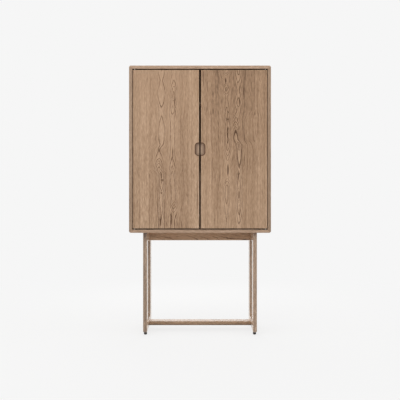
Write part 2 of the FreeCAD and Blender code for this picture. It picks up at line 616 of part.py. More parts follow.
def build_leaf():
    """Leaf with its hinges, shown stowed upright against the inner face of the right door."""
    rounded = (0.0, 0.0, LEAF_CORNER_RADIUS, LEAF_CORNER_RADIUS)
    corners = rectangle((LEAF_LEFT, LEAF_BOTTOM), (LEAF_RIGHT, LEAF_TOP), rounded)
    leaf = slab(corners, front_view, LEAF_NEAR, LEAF_FAR)
    leaf = leaf.makeFillet(EASED_EDGE, [edge for edge in leaf.Edges if edge.BoundBox.ZMax > LEAF_BOTTOM
                                        + EASED_EDGE and edge.BoundBox.YLength < EASED_EDGE])
    catch_x = (LEAF_LEFT + LEAF_RIGHT) / 2
    catch_z = LEAF_TOP - LEAF_CATCH_FROM_TOP
    seat_end = LEAF_NEAR + LEAF_STRIKE_THICKNESS
    strike = rod(LEAF_STRIKE_RADIUS, (catch_x, LEAF_NEAR, catch_z), (catch_x, seat_end, catch_z))
    seat_radius = LEAF_STRIKE_RADIUS + LEAF_STRIKE_FIT
    seat = rod(seat_radius, (catch_x, LEAF_NEAR, catch_z), (catch_x, seat_end, catch_z))
    half_width, half_height = LEAF_CATCH_WIDTH / 2, LEAF_CATCH_HEIGHT / 2
    catch_corners = rectangle((catch_x - half_width, catch_z - half_height),
                              (catch_x + half_width, catch_z + half_height), CATCH_CORNER_RADIUS)
    catch = slab(catch_corners, front_view, DOOR_REAR, LEAF_NEAR - CATCH_TOUCH_GAP)
    pins = [rod(HINGE_PIN_RADIUS, (left, HINGE_Y, HINGE_Z), (left + HINGE_WIDTH, HINGE_Y, HINGE_Z))
            for left in hinge_lefts()]
    return {
        "shelf_leaf": leaf.cut(seat),
        "leaf_hinge_door_plates": Part.makeCompound([hinge_plate(x, True) for x in hinge_lefts()]),
        "leaf_hinge_leaf_plates": Part.makeCompound([hinge_plate(x, False) for x in hinge_lefts()]),
        "leaf_hinge_pins": Part.makeCompound(pins),
        "leaf_catch": catch,
        "leaf_strike": strike,
    }


def bracket_arm():
    """Tapering arm with a curved lower edge, shown folded flat along the door."""
    heel = BRACKET_X - BRACKET_HEEL_LENGTH
    tip = BRACKET_X - BRACKET_LENGTH
    tip_bottom = BRACKET_TOP - BRACKET_TIP_HEIGHT
    start = front_view(heel, BRACKET_BOTTOM)
    end = front_view(tip + BRACKET_TIP_RADIUS, tip_bottom)
    # the curve leaves the heel level and rises to the tip, so its centre is straight above the heel
    run, rise = (start - end).x, end.z - start.z
    curve_radius = (run * run + rise * rise) / (2 * rise)
    turn = math.asin(run / curve_radius) / 2
    middle = front_view(heel - curve_radius * math.sin(turn),
                        BRACKET_BOTTOM + curve_radius * (1 - math.cos(turn)))
    half_turn = math.sqrt(0.5)
    nose = front_view(tip + BRACKET_TIP_RADIUS * (1 - half_turn),
                      tip_bottom + BRACKET_TIP_RADIUS * (1 - half_turn))
    points = {
        "nose_end": front_view(tip, tip_bottom + BRACKET_TIP_RADIUS),
        "tip_top": front_view(tip, BRACKET_TOP),
        "heel_top": front_view(BRACKET_X, BRACKET_TOP),
        "heel_bottom": front_view(BRACKET_X, BRACKET_BOTTOM),
    }
    edges = [
        Part.LineSegment(points["heel_bottom"], start),
        Part.Arc(start, middle, end),
        Part.Arc(end, nose, points["nose_end"]),
        Part.LineSegment(points["nose_end"], points["tip_top"]),
        Part.LineSegment(points["tip_top"], points["heel_top"]),
        Part.LineSegment(points["heel_top"], points["heel_bottom"]),
    ]
    face = Part.Face(Part.Wire([edge.toShape() for edge in edges]))
    near = BRACKET_Y - BRACKET_THICKNESS / 2
    face.translate(Vector(0, near, 0))
    arm = face.extrude(Vector(0, BRACKET_THICKNESS, 0))
    arm = arm.fuse(rod(BRACKET_THICKNESS / 2, (BRACKET_X, BRACKET_Y, BRACKET_BOTTOM),
                       (BRACKET_X, BRACKET_Y, BRACKET_TOP))).removeSplitter()
    step_x = BRACKET_X - BRACKET_THICKNESS / 2 - BRACKET_SWING_ROOM
    step = BRACKET_LUG_DROP + BRACKET_LUG_THICKNESS + BRACKET_LUG_GAP
    far = BRACKET_X + BRACKET_THICKNESS
    steps = [block((step_x, near - CUT_MARGIN, BRACKET_TOP - step),
                   (far, near + BRACKET_THICKNESS + CUT_MARGIN, BRACKET_TOP + CUT_MARGIN)),
             block((step_x, near - CUT_MARGIN, BRACKET_BOTTOM - CUT_MARGIN),
                   (far, near + BRACKET_THICKNESS + CUT_MARGIN, BRACKET_BOTTOM + step))]
    bore = rod(BRACKET_PIN_RADIUS + BRACKET_PIN_CLEARANCE, (BRACKET_X, BRACKET_Y, BRACKET_BOTTOM),
               (BRACKET_X, BRACKET_Y, BRACKET_TOP))
    return arm.cut(steps + [bore])


def build_bracket():
    """Swing-out arm under the leaf, its two-lug mount on the door and its upright pin."""
    half = BRACKET_THICKNESS / 2
    lug_corners = rectangle((BRACKET_X - half, DOOR_REAR), (BRACKET_X + half, BRACKET_Y + half),
                            (0.0, 0.0, half - EASED_EDGE, half - EASED_EDGE))
    lugs = [slab(lug_corners, plan_view, LUG_TOP - BRACKET_LUG_THICKNESS, LUG_TOP),
            slab(lug_corners, plan_view, LUG_BOTTOM, LUG_BOTTOM + BRACKET_LUG_THICKNESS)]
    plate = block((BRACKET_X - half, DOOR_REAR, LUG_BOTTOM),
                  (BRACKET_X + half, DOOR_REAR + BRACKET_PLATE_THICKNESS, LUG_TOP))
    bore = rod(BRACKET_PIN_RADIUS + BRACKET_PIN_CLEARANCE, (BRACKET_X, BRACKET_Y, LUG_BOTTOM),
               (BRACKET_X, BRACKET_Y, LUG_TOP))
    pin = rod(BRACKET_PIN_RADIUS, (BRACKET_X, BRACKET_Y, LUG_BOTTOM), (BRACKET_X, BRACKET_Y, LUG_TOP))
    head = rod(BRACKET_PIN_HEAD_RADIUS, (BRACKET_X, BRACKET_Y, LUG_BOTTOM - BRACKET_PIN_HEAD_HEIGHT),
               (BRACKET_X, BRACKET_Y, LUG_BOTTOM))
    return {
        "bracket_arm": bracket_arm(),
        "bracket_mount": plate.fuse(lugs).removeSplitter().cut(bore),
        "bracket_pin": pin.fuse(head).removeSplitter(),
    }


# ---------------------------------------------------------------- base
def screw_places():
    """Where screws go up into the case: two in each side frame, two in the cross rail."""
    sides = [(hand * FRAME_CENTRE, end * SIDE_SCREW_FROM_MIDDLE) for hand in (-1, 1) for end in (-1, 1)]
    return sides + [(hand * CROSS_SCREW_FROM_MIDDLE, 0.0) for hand in (-1, 1)]


def screw_bore(x, y):
    """Clearance and counterbore for one screw, from below the rail up into the case."""
    seat = RAIL_BOTTOM + SCREW_COUNTERBORE_DEPTH
    tip = BASE_HEIGHT + SCREW_GRIP + SCREW_TIP_ROOM
    shank = rod(SCREW_RADIUS + SCREW_CLEARANCE, (x, y, seat), (x, y, tip))
    lowest = min(RAIL_BOTTOM, CROSS_RAIL_BOTTOM) - CUT_MARGIN
    return shank.fuse(rod(SCREW_COUNTERBORE_RADIUS, (x, y, lowest), (x, y, seat)))


def build_screws():
    """Six screws that hold the base to the case, heads up inside their counterbores."""
    seat = RAIL_BOTTOM + SCREW_COUNTERBORE_DEPTH
    screws = []
    for x, y in screw_places():
        shank = rod(SCREW_RADIUS, (x, y, seat), (x, y, BASE_HEIGHT + SCREW_GRIP))
        head = rod(SCREW_HEAD_RADIUS, (x, y, seat - SCREW_HEAD_HEIGHT), (x, y, seat))
        screws.append(shank.fuse(head).removeSplitter())
    return {"base_screws": Part.makeCompound(screws)}


def frame_loop():
    """Right-hand side frame as one loop, with all long edges eased."""
    outer = rectangle((-FRAME_END, GLIDE_HEIGHT), (FRAME_END, BASE_HEIGHT),
                      (FRAME_OUTER_RADIUS, FRAME_OUTER_RADIUS, 0.0, 0.0))
    inner = rectangle((-LEG_INNER_END, RUNNER_TOP), (LEG_INNER_END, RAIL_BOTTOM),
                      (FRAME_INNER_RADIUS, FRAME_INNER_RADIUS, 0.0, 0.0))
    loop = slab(outer, side_view, FRAME_INNER, FRAME_OUTER)
    loop = loop.cut(slab(inner, side_view, FRAME_INNER, FRAME_OUTER))
    long_edges = [edge for edge in loop.Edges if edge.BoundBox.XLength < FRAME_EASED_EDGE
                  and edge.BoundBox.ZMin < BASE_HEIGHT - FRAME_EASED_EDGE]
    return loop.makeFillet(FRAME_EASED_EDGE, long_edges)


def frame_cuts():
    """Solids that part the loop: leg, runner and top rail, the lower corners mitred."""
    middle = (RUNNER_TOP + RAIL_BOTTOM) / 2
    top = BASE_HEIGHT + CUT_MARGIN
    slope = RUNNER_HEIGHT / LEG_DEPTH
    inside = (LEG_INNER_END - LEG_DEPTH, RUNNER_TOP + RUNNER_HEIGHT)
    outside = (FRAME_END + CUT_MARGIN, GLIDE_HEIGHT - slope * CUT_MARGIN)
    leg = [(FRAME_END + CUT_MARGIN, top), (LEG_INNER_END, top), (LEG_INNER_END, middle),
           (inside[0], middle), inside, outside]
    floor = GLIDE_HEIGHT - CUT_MARGIN
    runner = [inside, outside, (outside[0], floor), (-outside[0], floor), (-outside[0], outside[1]),
              (-inside[0], inside[1])]
    rail = [(-LEG_INNER_END, middle), (LEG_INNER_END, middle), (LEG_INNER_END, top), (-LEG_INNER_END, top)]
    span = (FRAME_INNER - CUT_MARGIN, FRAME_OUTER + CUT_MARGIN)
    shapes = []
    for corners in (leg, runner, rail):
        corners = [(y, z, 0.0) for y, z in corners]
        shapes.append(slab(corners, side_view, span[0], span[1]))
    return shapes


def cross_member(y_half, z_low, z_high, eased):
    """Rail between the side frames with a tenon at each end, and the mortise for that tenon."""
    body = slab(rectangle((-y_half, z_low), (y_half, z_high), eased), side_view, -FRAME_INNER, FRAME_INNER)
    low = (-FRAME_INNER - TENON_LENGTH, TENON_SHOULDER - y_half, z_low + TENON_SHOULDER)
    high = (FRAME_INNER + TENON_LENGTH, y_half - TENON_SHOULDER, z_high - TENON_SHOULDER)
    mortise_low, mortise_high = grown(low, high, TENON_CLEARANCE)
    return body.fuse(block(low, high)).removeSplitter(), block(mortise_low, mortise_high)


def glide(y):
    """Turned foot under a right-hand runner, with its stem up in the wood."""
    stem_top = GLIDE_HEIGHT + GLIDE_STEM_LENGTH
    profile = [(0.0, 0.0), (GLIDE_FOOT_RADIUS, 0.0), (GLIDE_SHOULDER_RADIUS, GLIDE_SHOULDER_HEIGHT),
               (GLIDE_RADIUS, GLIDE_TAPER_HEIGHT), (GLIDE_RADIUS, GLIDE_HEIGHT),
               (GLIDE_STEM_RADIUS, GLIDE_HEIGHT), (GLIDE_STEM_RADIUS, stem_top), (0.0, stem_top)]
    face = Part.Face(outline([(out, up, 0.0) for out, up in profile], front_view))
    turned = face.revolve(Vector(0, 0, 0), Vector(0, 0, 1), 360)
    turned.translate(Vector(FRAME_CENTRE, y, 0))
    return turned


def build_base():
    """Two side frames, the cross rail, the stretcher and the glides."""
    eased_below = (FRAME_EASED_EDGE, FRAME_EASED_EDGE, 0.0, 0.0)
    cross_rail, rail_mortise = cross_member(CROSS_RAIL_THICKNESS / 2, CROSS_RAIL_BOTTOM, BASE_HEIGHT,
                                            eased_below)
    half_thickness = STRETCHER_THICKNESS / 2
    stretcher, runner_mortise = cross_member(STRETCHER_WIDTH / 2, STRETCHER_HEIGHT - half_thickness,
                                             STRETCHER_HEIGHT + half_thickness, STRETCHER_EASED_EDGE)
    bores = [screw_bore(x, y) for x, y in screw_places()]
    loop = frame_loop()
    leg_cut, runner_cut, rail_cut = frame_cuts()
    glide_y = FRAME_END - GLIDE_FROM_END
    stem_top = GLIDE_HEIGHT + GLIDE_STEM_LENGTH + GLIDE_STEM_CLEARANCE
    stems = [rod(GLIDE_STEM_RADIUS + GLIDE_STEM_CLEARANCE, (FRAME_CENTRE, y, 0), (FRAME_CENTRE, y, stem_top))
             for y in (-glide_y, glide_y)]
    rear_leg = loop.common(leg_cut).cut(stems)
    right = {
        "front_leg": rear_leg.mirror(Vector(0, 0, 0), Vector(0, 1, 0)),
        "rear_leg": rear_leg,
        "runner": loop.common(runner_cut).cut(stems + [runner_mortise]),
        "top_rail": loop.common(rail_cut).cut(bores + [rail_mortise]),
    }
    nodes = {}
    for part_name, shape in right.items():
        nodes[f"right_{part_name}"] = shape
        nodes[f"left_{part_name}"] = mirrored(shape)
    for end_name, y in (("front", -glide_y), ("rear", glide_y)):
        nodes[f"foot_glide_{end_name}_right"] = glide(y)
        nodes[f"foot_glide_{end_name}_left"] = mirrored(glide(y))
    nodes["cross_rail"] = cross_rail.cut(bores)
    nodes["stretcher"] = stretcher
    return nodes


# ---------------------------------------------------------------- the whole cabinet
def build_all():
    """Every node of the cabinet by name."""
    nodes = {}
    nodes.update(build_case())
    nodes.update(build_bottle_rack())
    nodes.update(build_adjustable_shelf())
    nodes.update(build_glass_rails())
    nodes.update(build_case_hardware())
    nodes.update(build_door("right", lambda shape: shape))
    nodes.update(build_door("left", mirrored))
    nodes.update(build_leaf())
    nodes.update(build_bracket())
    nodes.update(build_base())
    nodes.update(build_screws())
    return nodes


os.makedirs("parts", exist_ok=True)
for node_name, node_shape in sorted(build_all().items()):
    node_shape.exportStep(f"parts/{node_name}.step")
    print(f"{node_name}: {len(node_shape.Solids)} solid(s), {node_shape.Volume / 1000:.1f} cm3")
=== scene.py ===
"""Looks of a two-door bar cabinet on loop-shaped side frames.

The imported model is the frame: its nodes keep their shapes and get brushed oak, bronze, steel and
plastic finishes here, and small fasteners are added on the bodies that carry them. Lengths are in
metres, +Z is up and the doors face -Y.
"""

import logging
import math
import random
from abc import ABC, abstractmethod
from collections.abc import Callable, Iterable, Mapping, Sequence
from dataclasses import dataclass, replace
from enum import Enum
from typing import Any

import bpy
from mathutils import Matrix, Vector

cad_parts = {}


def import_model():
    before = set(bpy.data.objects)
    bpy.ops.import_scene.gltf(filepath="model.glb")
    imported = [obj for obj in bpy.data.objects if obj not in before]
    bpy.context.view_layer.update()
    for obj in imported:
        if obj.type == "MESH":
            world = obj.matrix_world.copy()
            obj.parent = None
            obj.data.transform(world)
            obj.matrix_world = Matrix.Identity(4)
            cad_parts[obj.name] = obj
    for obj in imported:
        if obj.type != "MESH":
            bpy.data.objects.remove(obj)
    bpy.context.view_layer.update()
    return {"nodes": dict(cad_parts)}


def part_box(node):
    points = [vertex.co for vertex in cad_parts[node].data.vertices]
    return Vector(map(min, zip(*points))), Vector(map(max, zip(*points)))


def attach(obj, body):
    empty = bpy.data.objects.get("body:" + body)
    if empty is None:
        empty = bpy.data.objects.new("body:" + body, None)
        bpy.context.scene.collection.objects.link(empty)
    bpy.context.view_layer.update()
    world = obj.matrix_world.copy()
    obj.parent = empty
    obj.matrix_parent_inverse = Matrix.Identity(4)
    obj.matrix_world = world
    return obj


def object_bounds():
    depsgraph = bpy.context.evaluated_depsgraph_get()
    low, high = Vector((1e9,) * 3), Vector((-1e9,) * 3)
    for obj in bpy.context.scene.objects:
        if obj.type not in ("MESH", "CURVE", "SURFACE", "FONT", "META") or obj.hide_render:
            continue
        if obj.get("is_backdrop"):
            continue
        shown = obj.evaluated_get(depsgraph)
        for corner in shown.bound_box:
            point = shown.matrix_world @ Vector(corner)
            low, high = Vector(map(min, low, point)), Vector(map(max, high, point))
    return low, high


logger = logging.getLogger("bar_cabinet")

Colour = tuple[float, float, float, float]
Triple = tuple[float, float, float]
Band = tuple[float, float]


def tint(red: int, green: int, blue: int) -> Colour:
    """Turns a screen colour of 0 to 255 into the linear colour that shaders take.

    Args:
        red: Red part.
        green: Green part.
        blue: Blue part.

    Returns:
        The linear colour with full alpha.
    """
    parts = [part / 255 for part in (red, green, blue)]
    # The standard screen curve is a straight foot and a power above it.
    linear = [part / 12.92 if part <= 0.04045 else ((part + 0.055) / 1.055) ** 2.4
              for part in parts]
    return linear[0], linear[1], linear[2], 1.0


class Axis(Enum):
    """A direction of the cabinet."""

    ACROSS = 0
    BACK = 1
    UP = 2


class Side(Enum):
    """A side of the cabinet, seen from the front."""

    LEFT = "left"
    RIGHT = "right"

    @property
    def sign(self) -> int:
        """Sign of x on this side."""
        return -1 if self is Side.LEFT else 1


# ---- shader writing


def math_method(operation: str, reflected: bool = False) -> Callable[..., "Value"]:
    """Makes a method of Value that adds one Math node.

    Args:
        operation: The node's operation.
        reflected: True where the method's own value comes second.

    Returns:
        The method.
    """
    def method(self: "Value", other: "Value | float" = 0.0) -> "Value":
        """Adds the node."""
        inputs = {0: other, 1: self} if reflected else {0: self, 1: other}
        return self.shader.node("ShaderNodeMath", {"operation": operation}, inputs)

    return method


class Value:
    """A shader socket that takes part in Python arithmetic, one Math node for each operation."""

    __add__ = math_method("ADD")
    __radd__ = math_method("ADD", reflected=True)
    __sub__ = math_method("SUBTRACT")
    __rsub__ = math_method("SUBTRACT", reflected=True)
    __mul__ = math_method("MULTIPLY")
    __rmul__ = math_method("MULTIPLY", reflected=True)
    __truediv__ = math_method("DIVIDE")
    __pow__ = math_method("POWER")
    __gt__ = math_method("GREATER_THAN")
    __abs__ = math_method("ABSOLUTE")
    rounded_down = math_method("FLOOR")
    least = math_method("MINIMUM")
    most = math_method("MAXIMUM")

    def __init__(self, shader: "Shader", socket: bpy.types.NodeSocket | None) -> None:
        """Keeps the socket and the shader that holds it."""
        self.shader = shader
        self.socket = socket

    def rise(self, start: float, end: float, height: float = 1.0) -> "Value":
        """Smooth step from 0 to a height as self goes from start to end."""
        inputs = {0: self, 1: start, 2: end, 3: 0.0, 4: height}
        return self.shader.node("ShaderNodeMapRange", {"interpolation_type": "SMOOTHSTEP"}, inputs)

    def within(self, reach: float, core: float = 0.0) -> "Value":
        """1 up to a share of a reach, from where it falls smoothly to 0 at the reach."""
        return self.rise(reach, reach * core)


class Shader:
    """Node tree of one material or world, with one method that adds any node."""

    def __init__(self, tree: bpy.types.NodeTree) -> None:
        """Empties the tree that this shader writes."""
        self.tree = tree
        tree.nodes.clear()

    def node(self, kind: str, settings: Mapping[str, Any] | None = None,
             inputs: Mapping[int | str, Any] | None = None, output: int | str = 0) -> Value:
        """Adds a node, sets it up and links it.

        Args:
            kind: The node's type.
            settings: Its settings, with a ramp's stops as (place, colour) pairs under "stops".
            inputs: Values or links of its sockets.
            output: The socket that the result stands for.

        Returns:
            The node's output as a value.
        """
        made = self.tree.nodes.new(kind)
        for name, setting in (settings or {}).items():
            if name == "stops":
                self._set_stops(made.color_ramp, setting)
            else:
                setattr(made, name, setting)
        for key, given in (inputs or {}).items():
            if isinstance(given, Value):
                self.tree.links.new(given.socket, made.inputs[key])
            else:
                made.inputs[key].default_value = given
        return Value(self, made.outputs[output] if made.outputs else None)

    @staticmethod
    def _set_stops(ramp: bpy.types.ColorRamp, stops: Sequence[tuple[float, Colour]]) -> None:
        """Gives a ramp its stops.

        Args:
            ramp: The ramp.
            stops: Place and colour of each stop, in order.
        """
        while len(ramp.elements) < len(stops):
            ramp.elements.new(1.0)
        for element, (place, colour) in zip(ramp.elements, stops):
            element.position = place
            element.color = colour

    def place(self) -> Value:
        """Place on the piece, in the cabinet's frame at rest."""
        return self.node("ShaderNodeTexCoord", output="Object")

    def faces(self, axis: Axis, band: Band) -> Value:
        """1 where the surface faces an axis at rest, fading to 0 over a band of squareness."""
        facing = self.node("ShaderNodeTexCoord", output="Normal")
        return abs(self.split(facing)[axis.value]).rise(*band)

    def split(self, vector: Value) -> tuple[Value, ...]:
        """Takes a vector apart into its three parts."""
        made = self.node("ShaderNodeSeparateXYZ", inputs={0: vector}).socket.node
        return tuple(Value(self, socket) for socket in made.outputs)

    def join(self, first: Value, second: Value, third: Value) -> Value:
        """Makes a vector of three parts."""
        return self.node("ShaderNodeCombineXYZ", inputs={0: first, 1: second, 2: third})

    def _noise(self, dimensions: str, inputs: Mapping[str, Any]) -> Value:
        """Adds a noise node and stretches what it gives to between about -1 and 1."""
        settings = {"noise_dimensions": dimensions}
        return self.node("ShaderNodeTexNoise", settings, {"Scale": 1.0, **inputs}) * 2.0 - 1.0

    def noise(self, place: Value, detail: float = 1.0) -> Value:
        """Smooth noise on a line, with one grain to each unit."""
        return self._noise("1D", {"W": place, "Detail": detail})

    def grains(self, place: Value, grains: Triple, shift: Triple = (0.0, 0.0, 0.0),
               detail: float = 1.0, roughness: float = 0.5) -> Value:
        """Smooth noise in space, with a grain of its own in each direction.

        Args:
            place: The place, in metres.
            grains: How many grains there are in a metre, in each direction.
            shift: Where in the noise the board lies, in grains.
            detail: How many finer layers are added.
            roughness: How strong each finer layer is.

        Returns:
            The noise.
        """
        mapping = {"Vector": place, "Location": shift, "Scale": grains}
        mapped = self.node("ShaderNodeMapping", inputs=mapping)
        return self._noise("3D", {"Vector": mapped, "Detail": detail, "Roughness": roughness})

    def mix(self, factor: Value | float, first: Value | Colour, second: Value | Colour) -> Value:
        """Mixes two colours."""
        inputs = {0: factor, 6: first, 7: second}
        return self.node("ShaderNodeMix", {"data_type": "RGBA"}, inputs, output=2)

    def ramp(self, factor: Value, stops: Sequence[tuple[float, Colour]]) -> Value:
        """Reads a colour from a ramp."""
        return self.node("ShaderNodeValToRGB", {"stops": stops}, {0: factor})

    def bump(self, height: Value, depth: float, strength: float) -> Value:
        """Direction for a Normal socket, from a height of which 1 stands for a depth in metres."""
        inputs = {"Height": height, "Distance": depth, "Strength": strength}
        return self.node("ShaderNodeBump", inputs=inputs)

    def principled(self, inputs: Mapping[str, Any]) -> Value:
        """Makes a Principled surface."""
        return self.node("ShaderNodeBsdfPrincipled", inputs=inputs)

    def over(self, factor: Value, under: Value, cover: Value) -> Value:
        """Lays one surface over another where the factor is 1."""
        return self.node("ShaderNodeMixShader", inputs={0: factor, 1: under, 2: cover})

    def pale_factor(self) -> Value:
        """Tells the rays that see the floor and the surround pale.

        Returns:
            1 for rays from the camera and for rays that gloss or glass sends on, else 0.
        """
        rays = self.node("ShaderNodeLightPath").socket.node.outputs
        camera, glossy, passing = (
            Value(self, rays[f"Is {kind} Ray"]) for kind in ("Camera", "Glossy", "Transmission"))
        return camera.most(glossy).most(passing)


@dataclass(frozen=True)
class Finish(ABC):
    """A finish, which any number of pieces can share."""

    name: str

    @abstractmethod
    def surface(self, shader: Shader) -> Value:
        """Writes the finish's nodes and gives back their surface."""

    def material(self) -> bpy.types.Material:
        """Makes the material.

        Returns:
            The material of this finish.
        """
        material = bpy.data.materials.new(self.name)
        material.use_nodes = True
        shader = Shader(material.node_tree)
        shader.node("ShaderNodeOutputMaterial", inputs={"Surface": self.surface(shader)})
        return material


# ---- oak

# Tone at which wood has its lot's body colour, and the tone that a board's figure varies about.
BODY_TONE = 0.60
MIDDLE_TONE = 0.62

# How squarely a face looks along the grain, or out of the board, where its mask is 0 and 1.
END_GRAIN_BAND = (0.60, 0.95)
WIDE_FACE_BAND = (0.50, 0.90)

# Steps in the noises from one board's log to the next, and from one plank to the next.
FIBRE_STEP = (3.1, 1.7, 5.3)
WOBBLE_STEP = (1.0, 2.0, 3.0)
LOG_STEP = 2.7
PLANK_STEP = 3.7

# Ranges that ordinary planks are drawn from, the heart's as a share of the board's width.
DRAWN_HEART = (0.15, 0.60)
DRAWN_DEPTH = (0.04, 0.09)
DRAWN_LEAN = (0.03, 0.06)


@dataclass(frozen=True)
class OakLot:
    """Colours of one lot of oak, from its early wood to its palest late wood."""

    deep: Colour
    body: Colour
    pale: Colour
    pore: Colour = tint(96, 70, 50)
    # Colour of the painted shadow that lies along a door's free edge, in the gap.
    gap_shadow: Colour = tint(42, 23, 11)


@dataclass(frozen=True)
class ArchRun:
    """A stretch of a plank where its rings close into arches.

    From start to end, along the grain from the board's middle, the log's heart goes deeper by
    climb and sideways by swing.
    """

    start: float
    end: float
    climb: float
    swing: float = 0.0


@dataclass(frozen=True)
class Eye:
    """An upright oval round which the rings bend, and which is darker by its shade.

    It stands across and along the face, from the board's middle, and its bulge moves the log's
    heart deeper there.
    """

    across: float
    height: float
    half_width: float
    half_height: float
    bulge: float
    shade: float

    def mask(self, across: Value, along: Value) -> Value:
        """1 at the middle of the eye, falling to 0 at its rim."""
        out, up = (across - self.across) / self.half_width, (along - self.height) / self.half_height
        return (out * out + up * up).within(1.0)


@dataclass(frozen=True)
class Plank:
    """One of the planks glued side by side into a board."""

    heart: float
    depth: float
    start: float = -1.0
    lean: float = 0.0
    shade: float = 0.0
    first_year: float = 0.0
    runs: tuple[ArchRun, ...] = ()

    @classmethod
    def drawn(cls, seed: int, width: float) -> "Plank":
        """Draws an ordinary plank from a seed.

        Args:
            seed: The seed.
            width: Width of the board's face.

        Returns:
            The plank.
        """
        draw = random.Random(seed)
        heart = draw.choice((-1, 1)) * draw.uniform(*DRAWN_HEART) * width
        depth = draw.uniform(*DRAWN_DEPTH)
        return cls(heart, depth, lean=draw.choice((-1, 1)) * draw.uniform(*DRAWN_LEAN))

    def heart_along(self, along: Value) -> tuple[Value | float, Value]:
        """Follows the log's heart along the plank, with its lean and its runs of arches.

        Args:
            along: Place along the grain, from the board's middle.

        Returns:
            The heart's place across the face, and its depth under the face.
        """
        heart, depth = self.heart, along * self.lean + self.depth
        for run in self.runs:
            if run.swing:
                heart = heart + along.rise(run.start, run.end, run.swing)
            if run.climb:
                depth = depth + along.rise(run.start, run.end, run.climb)
        return heart, depth


@dataclass(frozen=True)
class GrainScale:
    """How large and how strong each part of the oak figure is.

    Pitches, widths and reaches are in metres, shares are parts of the tone's range, and triples
    are grains in a metre. The column is the strip over the heart, where every year shows.
    """

    ring_pitch: float = 0.0042
    band_pitch: float = 0.013
    streak_pitch: float = 0.040
    line_width: float = 0.0034
    line_share: float = 0.50
    quiet_lines: float = 0.25
    year_wobble: float = 1.3
    year_wobble_grains: float = 0.3
    year_contrast: float = 1.8
    column_share: float = 1.3
    column_glow: float = 0.10
    column_reach: float = 0.034
    column_core: float = 0.3
    column_evenness: float = 0.45
    band_share: float = 0.10
    streak_share: float = 0.12
    stroke_share: float = 0.36
    fibre_share: float = 0.24
    fleck_share: float = 0.42
    cloud_share: float = 0.10
    strokes: Triple = (340.0, 340.0, 46.0)
    fibres: Triple = (260.0, 260.0, 7.0)
    flecks: Triple = (320.0, 320.0, 18.0)
    fleck_band: Band = (0.22, 0.60)
    pores: Triple = (1150.0, 1150.0, 42.0)
    pore_band: Band = (0.12, 0.50)
    late_pores: float = 0.35
    clouds: Triple = (6.0, 6.0, 1.6)
    patches: Triple = (24.0, 24.0, 4.0)
    patch_band: Band = (-0.35, 0.45)
    ripples: Triple = (26.0, 26.0, 8.0)
    jitter: Triple = (90.0, 90.0, 30.0)
    sway_pitch: float = 0.6
    wander_pitch: float = 0.26
    sway: float = 0.010
    ripple: float = 0.0024
    shake: float = 0.0012
    wander: float = 0.005
    crease: float = 0.004
    least_slope: float = 0.1


@dataclass(frozen=True)
class Figure:
    """Where a board is cut from its log, and how its tone changes along it."""

    planks: tuple[Plank, ...] = ()
    eyes: tuple[Eye, ...] = ()
    fade: float = 0.0
    liveliness: float = 1.0
    calming: float = 0.0
    scale: GrainScale = GrainScale()


@dataclass(frozen=True)
class OakFinish:
    """Brushing and matt clear finish of a board, its painted light, and where it is shaded.

    The free edge is the x at which a door meets the other one; a dark painted shadow lies along it.
    """

    bump: float = 0.35
    relief: float = 0.0002
    pale_relief: float = 0.35
    coat: float = 0.1
    coat_roughness: float = 0.16
    roughness: float = 0.58
    pale_gloss: float = 0.10
    pore_roughness: float = 0.2
    specular: float = 0.4
    pore_tint: float = 0.45
    end_grain_tint: float = 0.35
    # Painted highlight along the eased edges: its strength, width, core, evenness and breaks.
    edge_highlight: float = 0.12
    edge_width: float = 0.0028
    edge_core: float = 0.3
    edge_evenness: float = 0.8
    edge_breaks: float = 0.6
    # Painted light on the wide faces.
    painted_face_light: float = 0.0
    underside_shade: float = 0.0
    upper_end_shade: float = 0.0
    shade_reach: float = 0.014
    free_edge: float | None = None
    # Painted shadow along a door's free edge: its reach, depth, cover and roughness.
    gap_shadow_reach: float = 0.0028
    gap_shadow_core: float = 0.4
    gap_shadow_depth: float = 0.003
    gap_shadow_depth_core: float = 0.5
    gap_shadow_cover: float = 0.95
    gap_shadow_roughness: float = 0.9


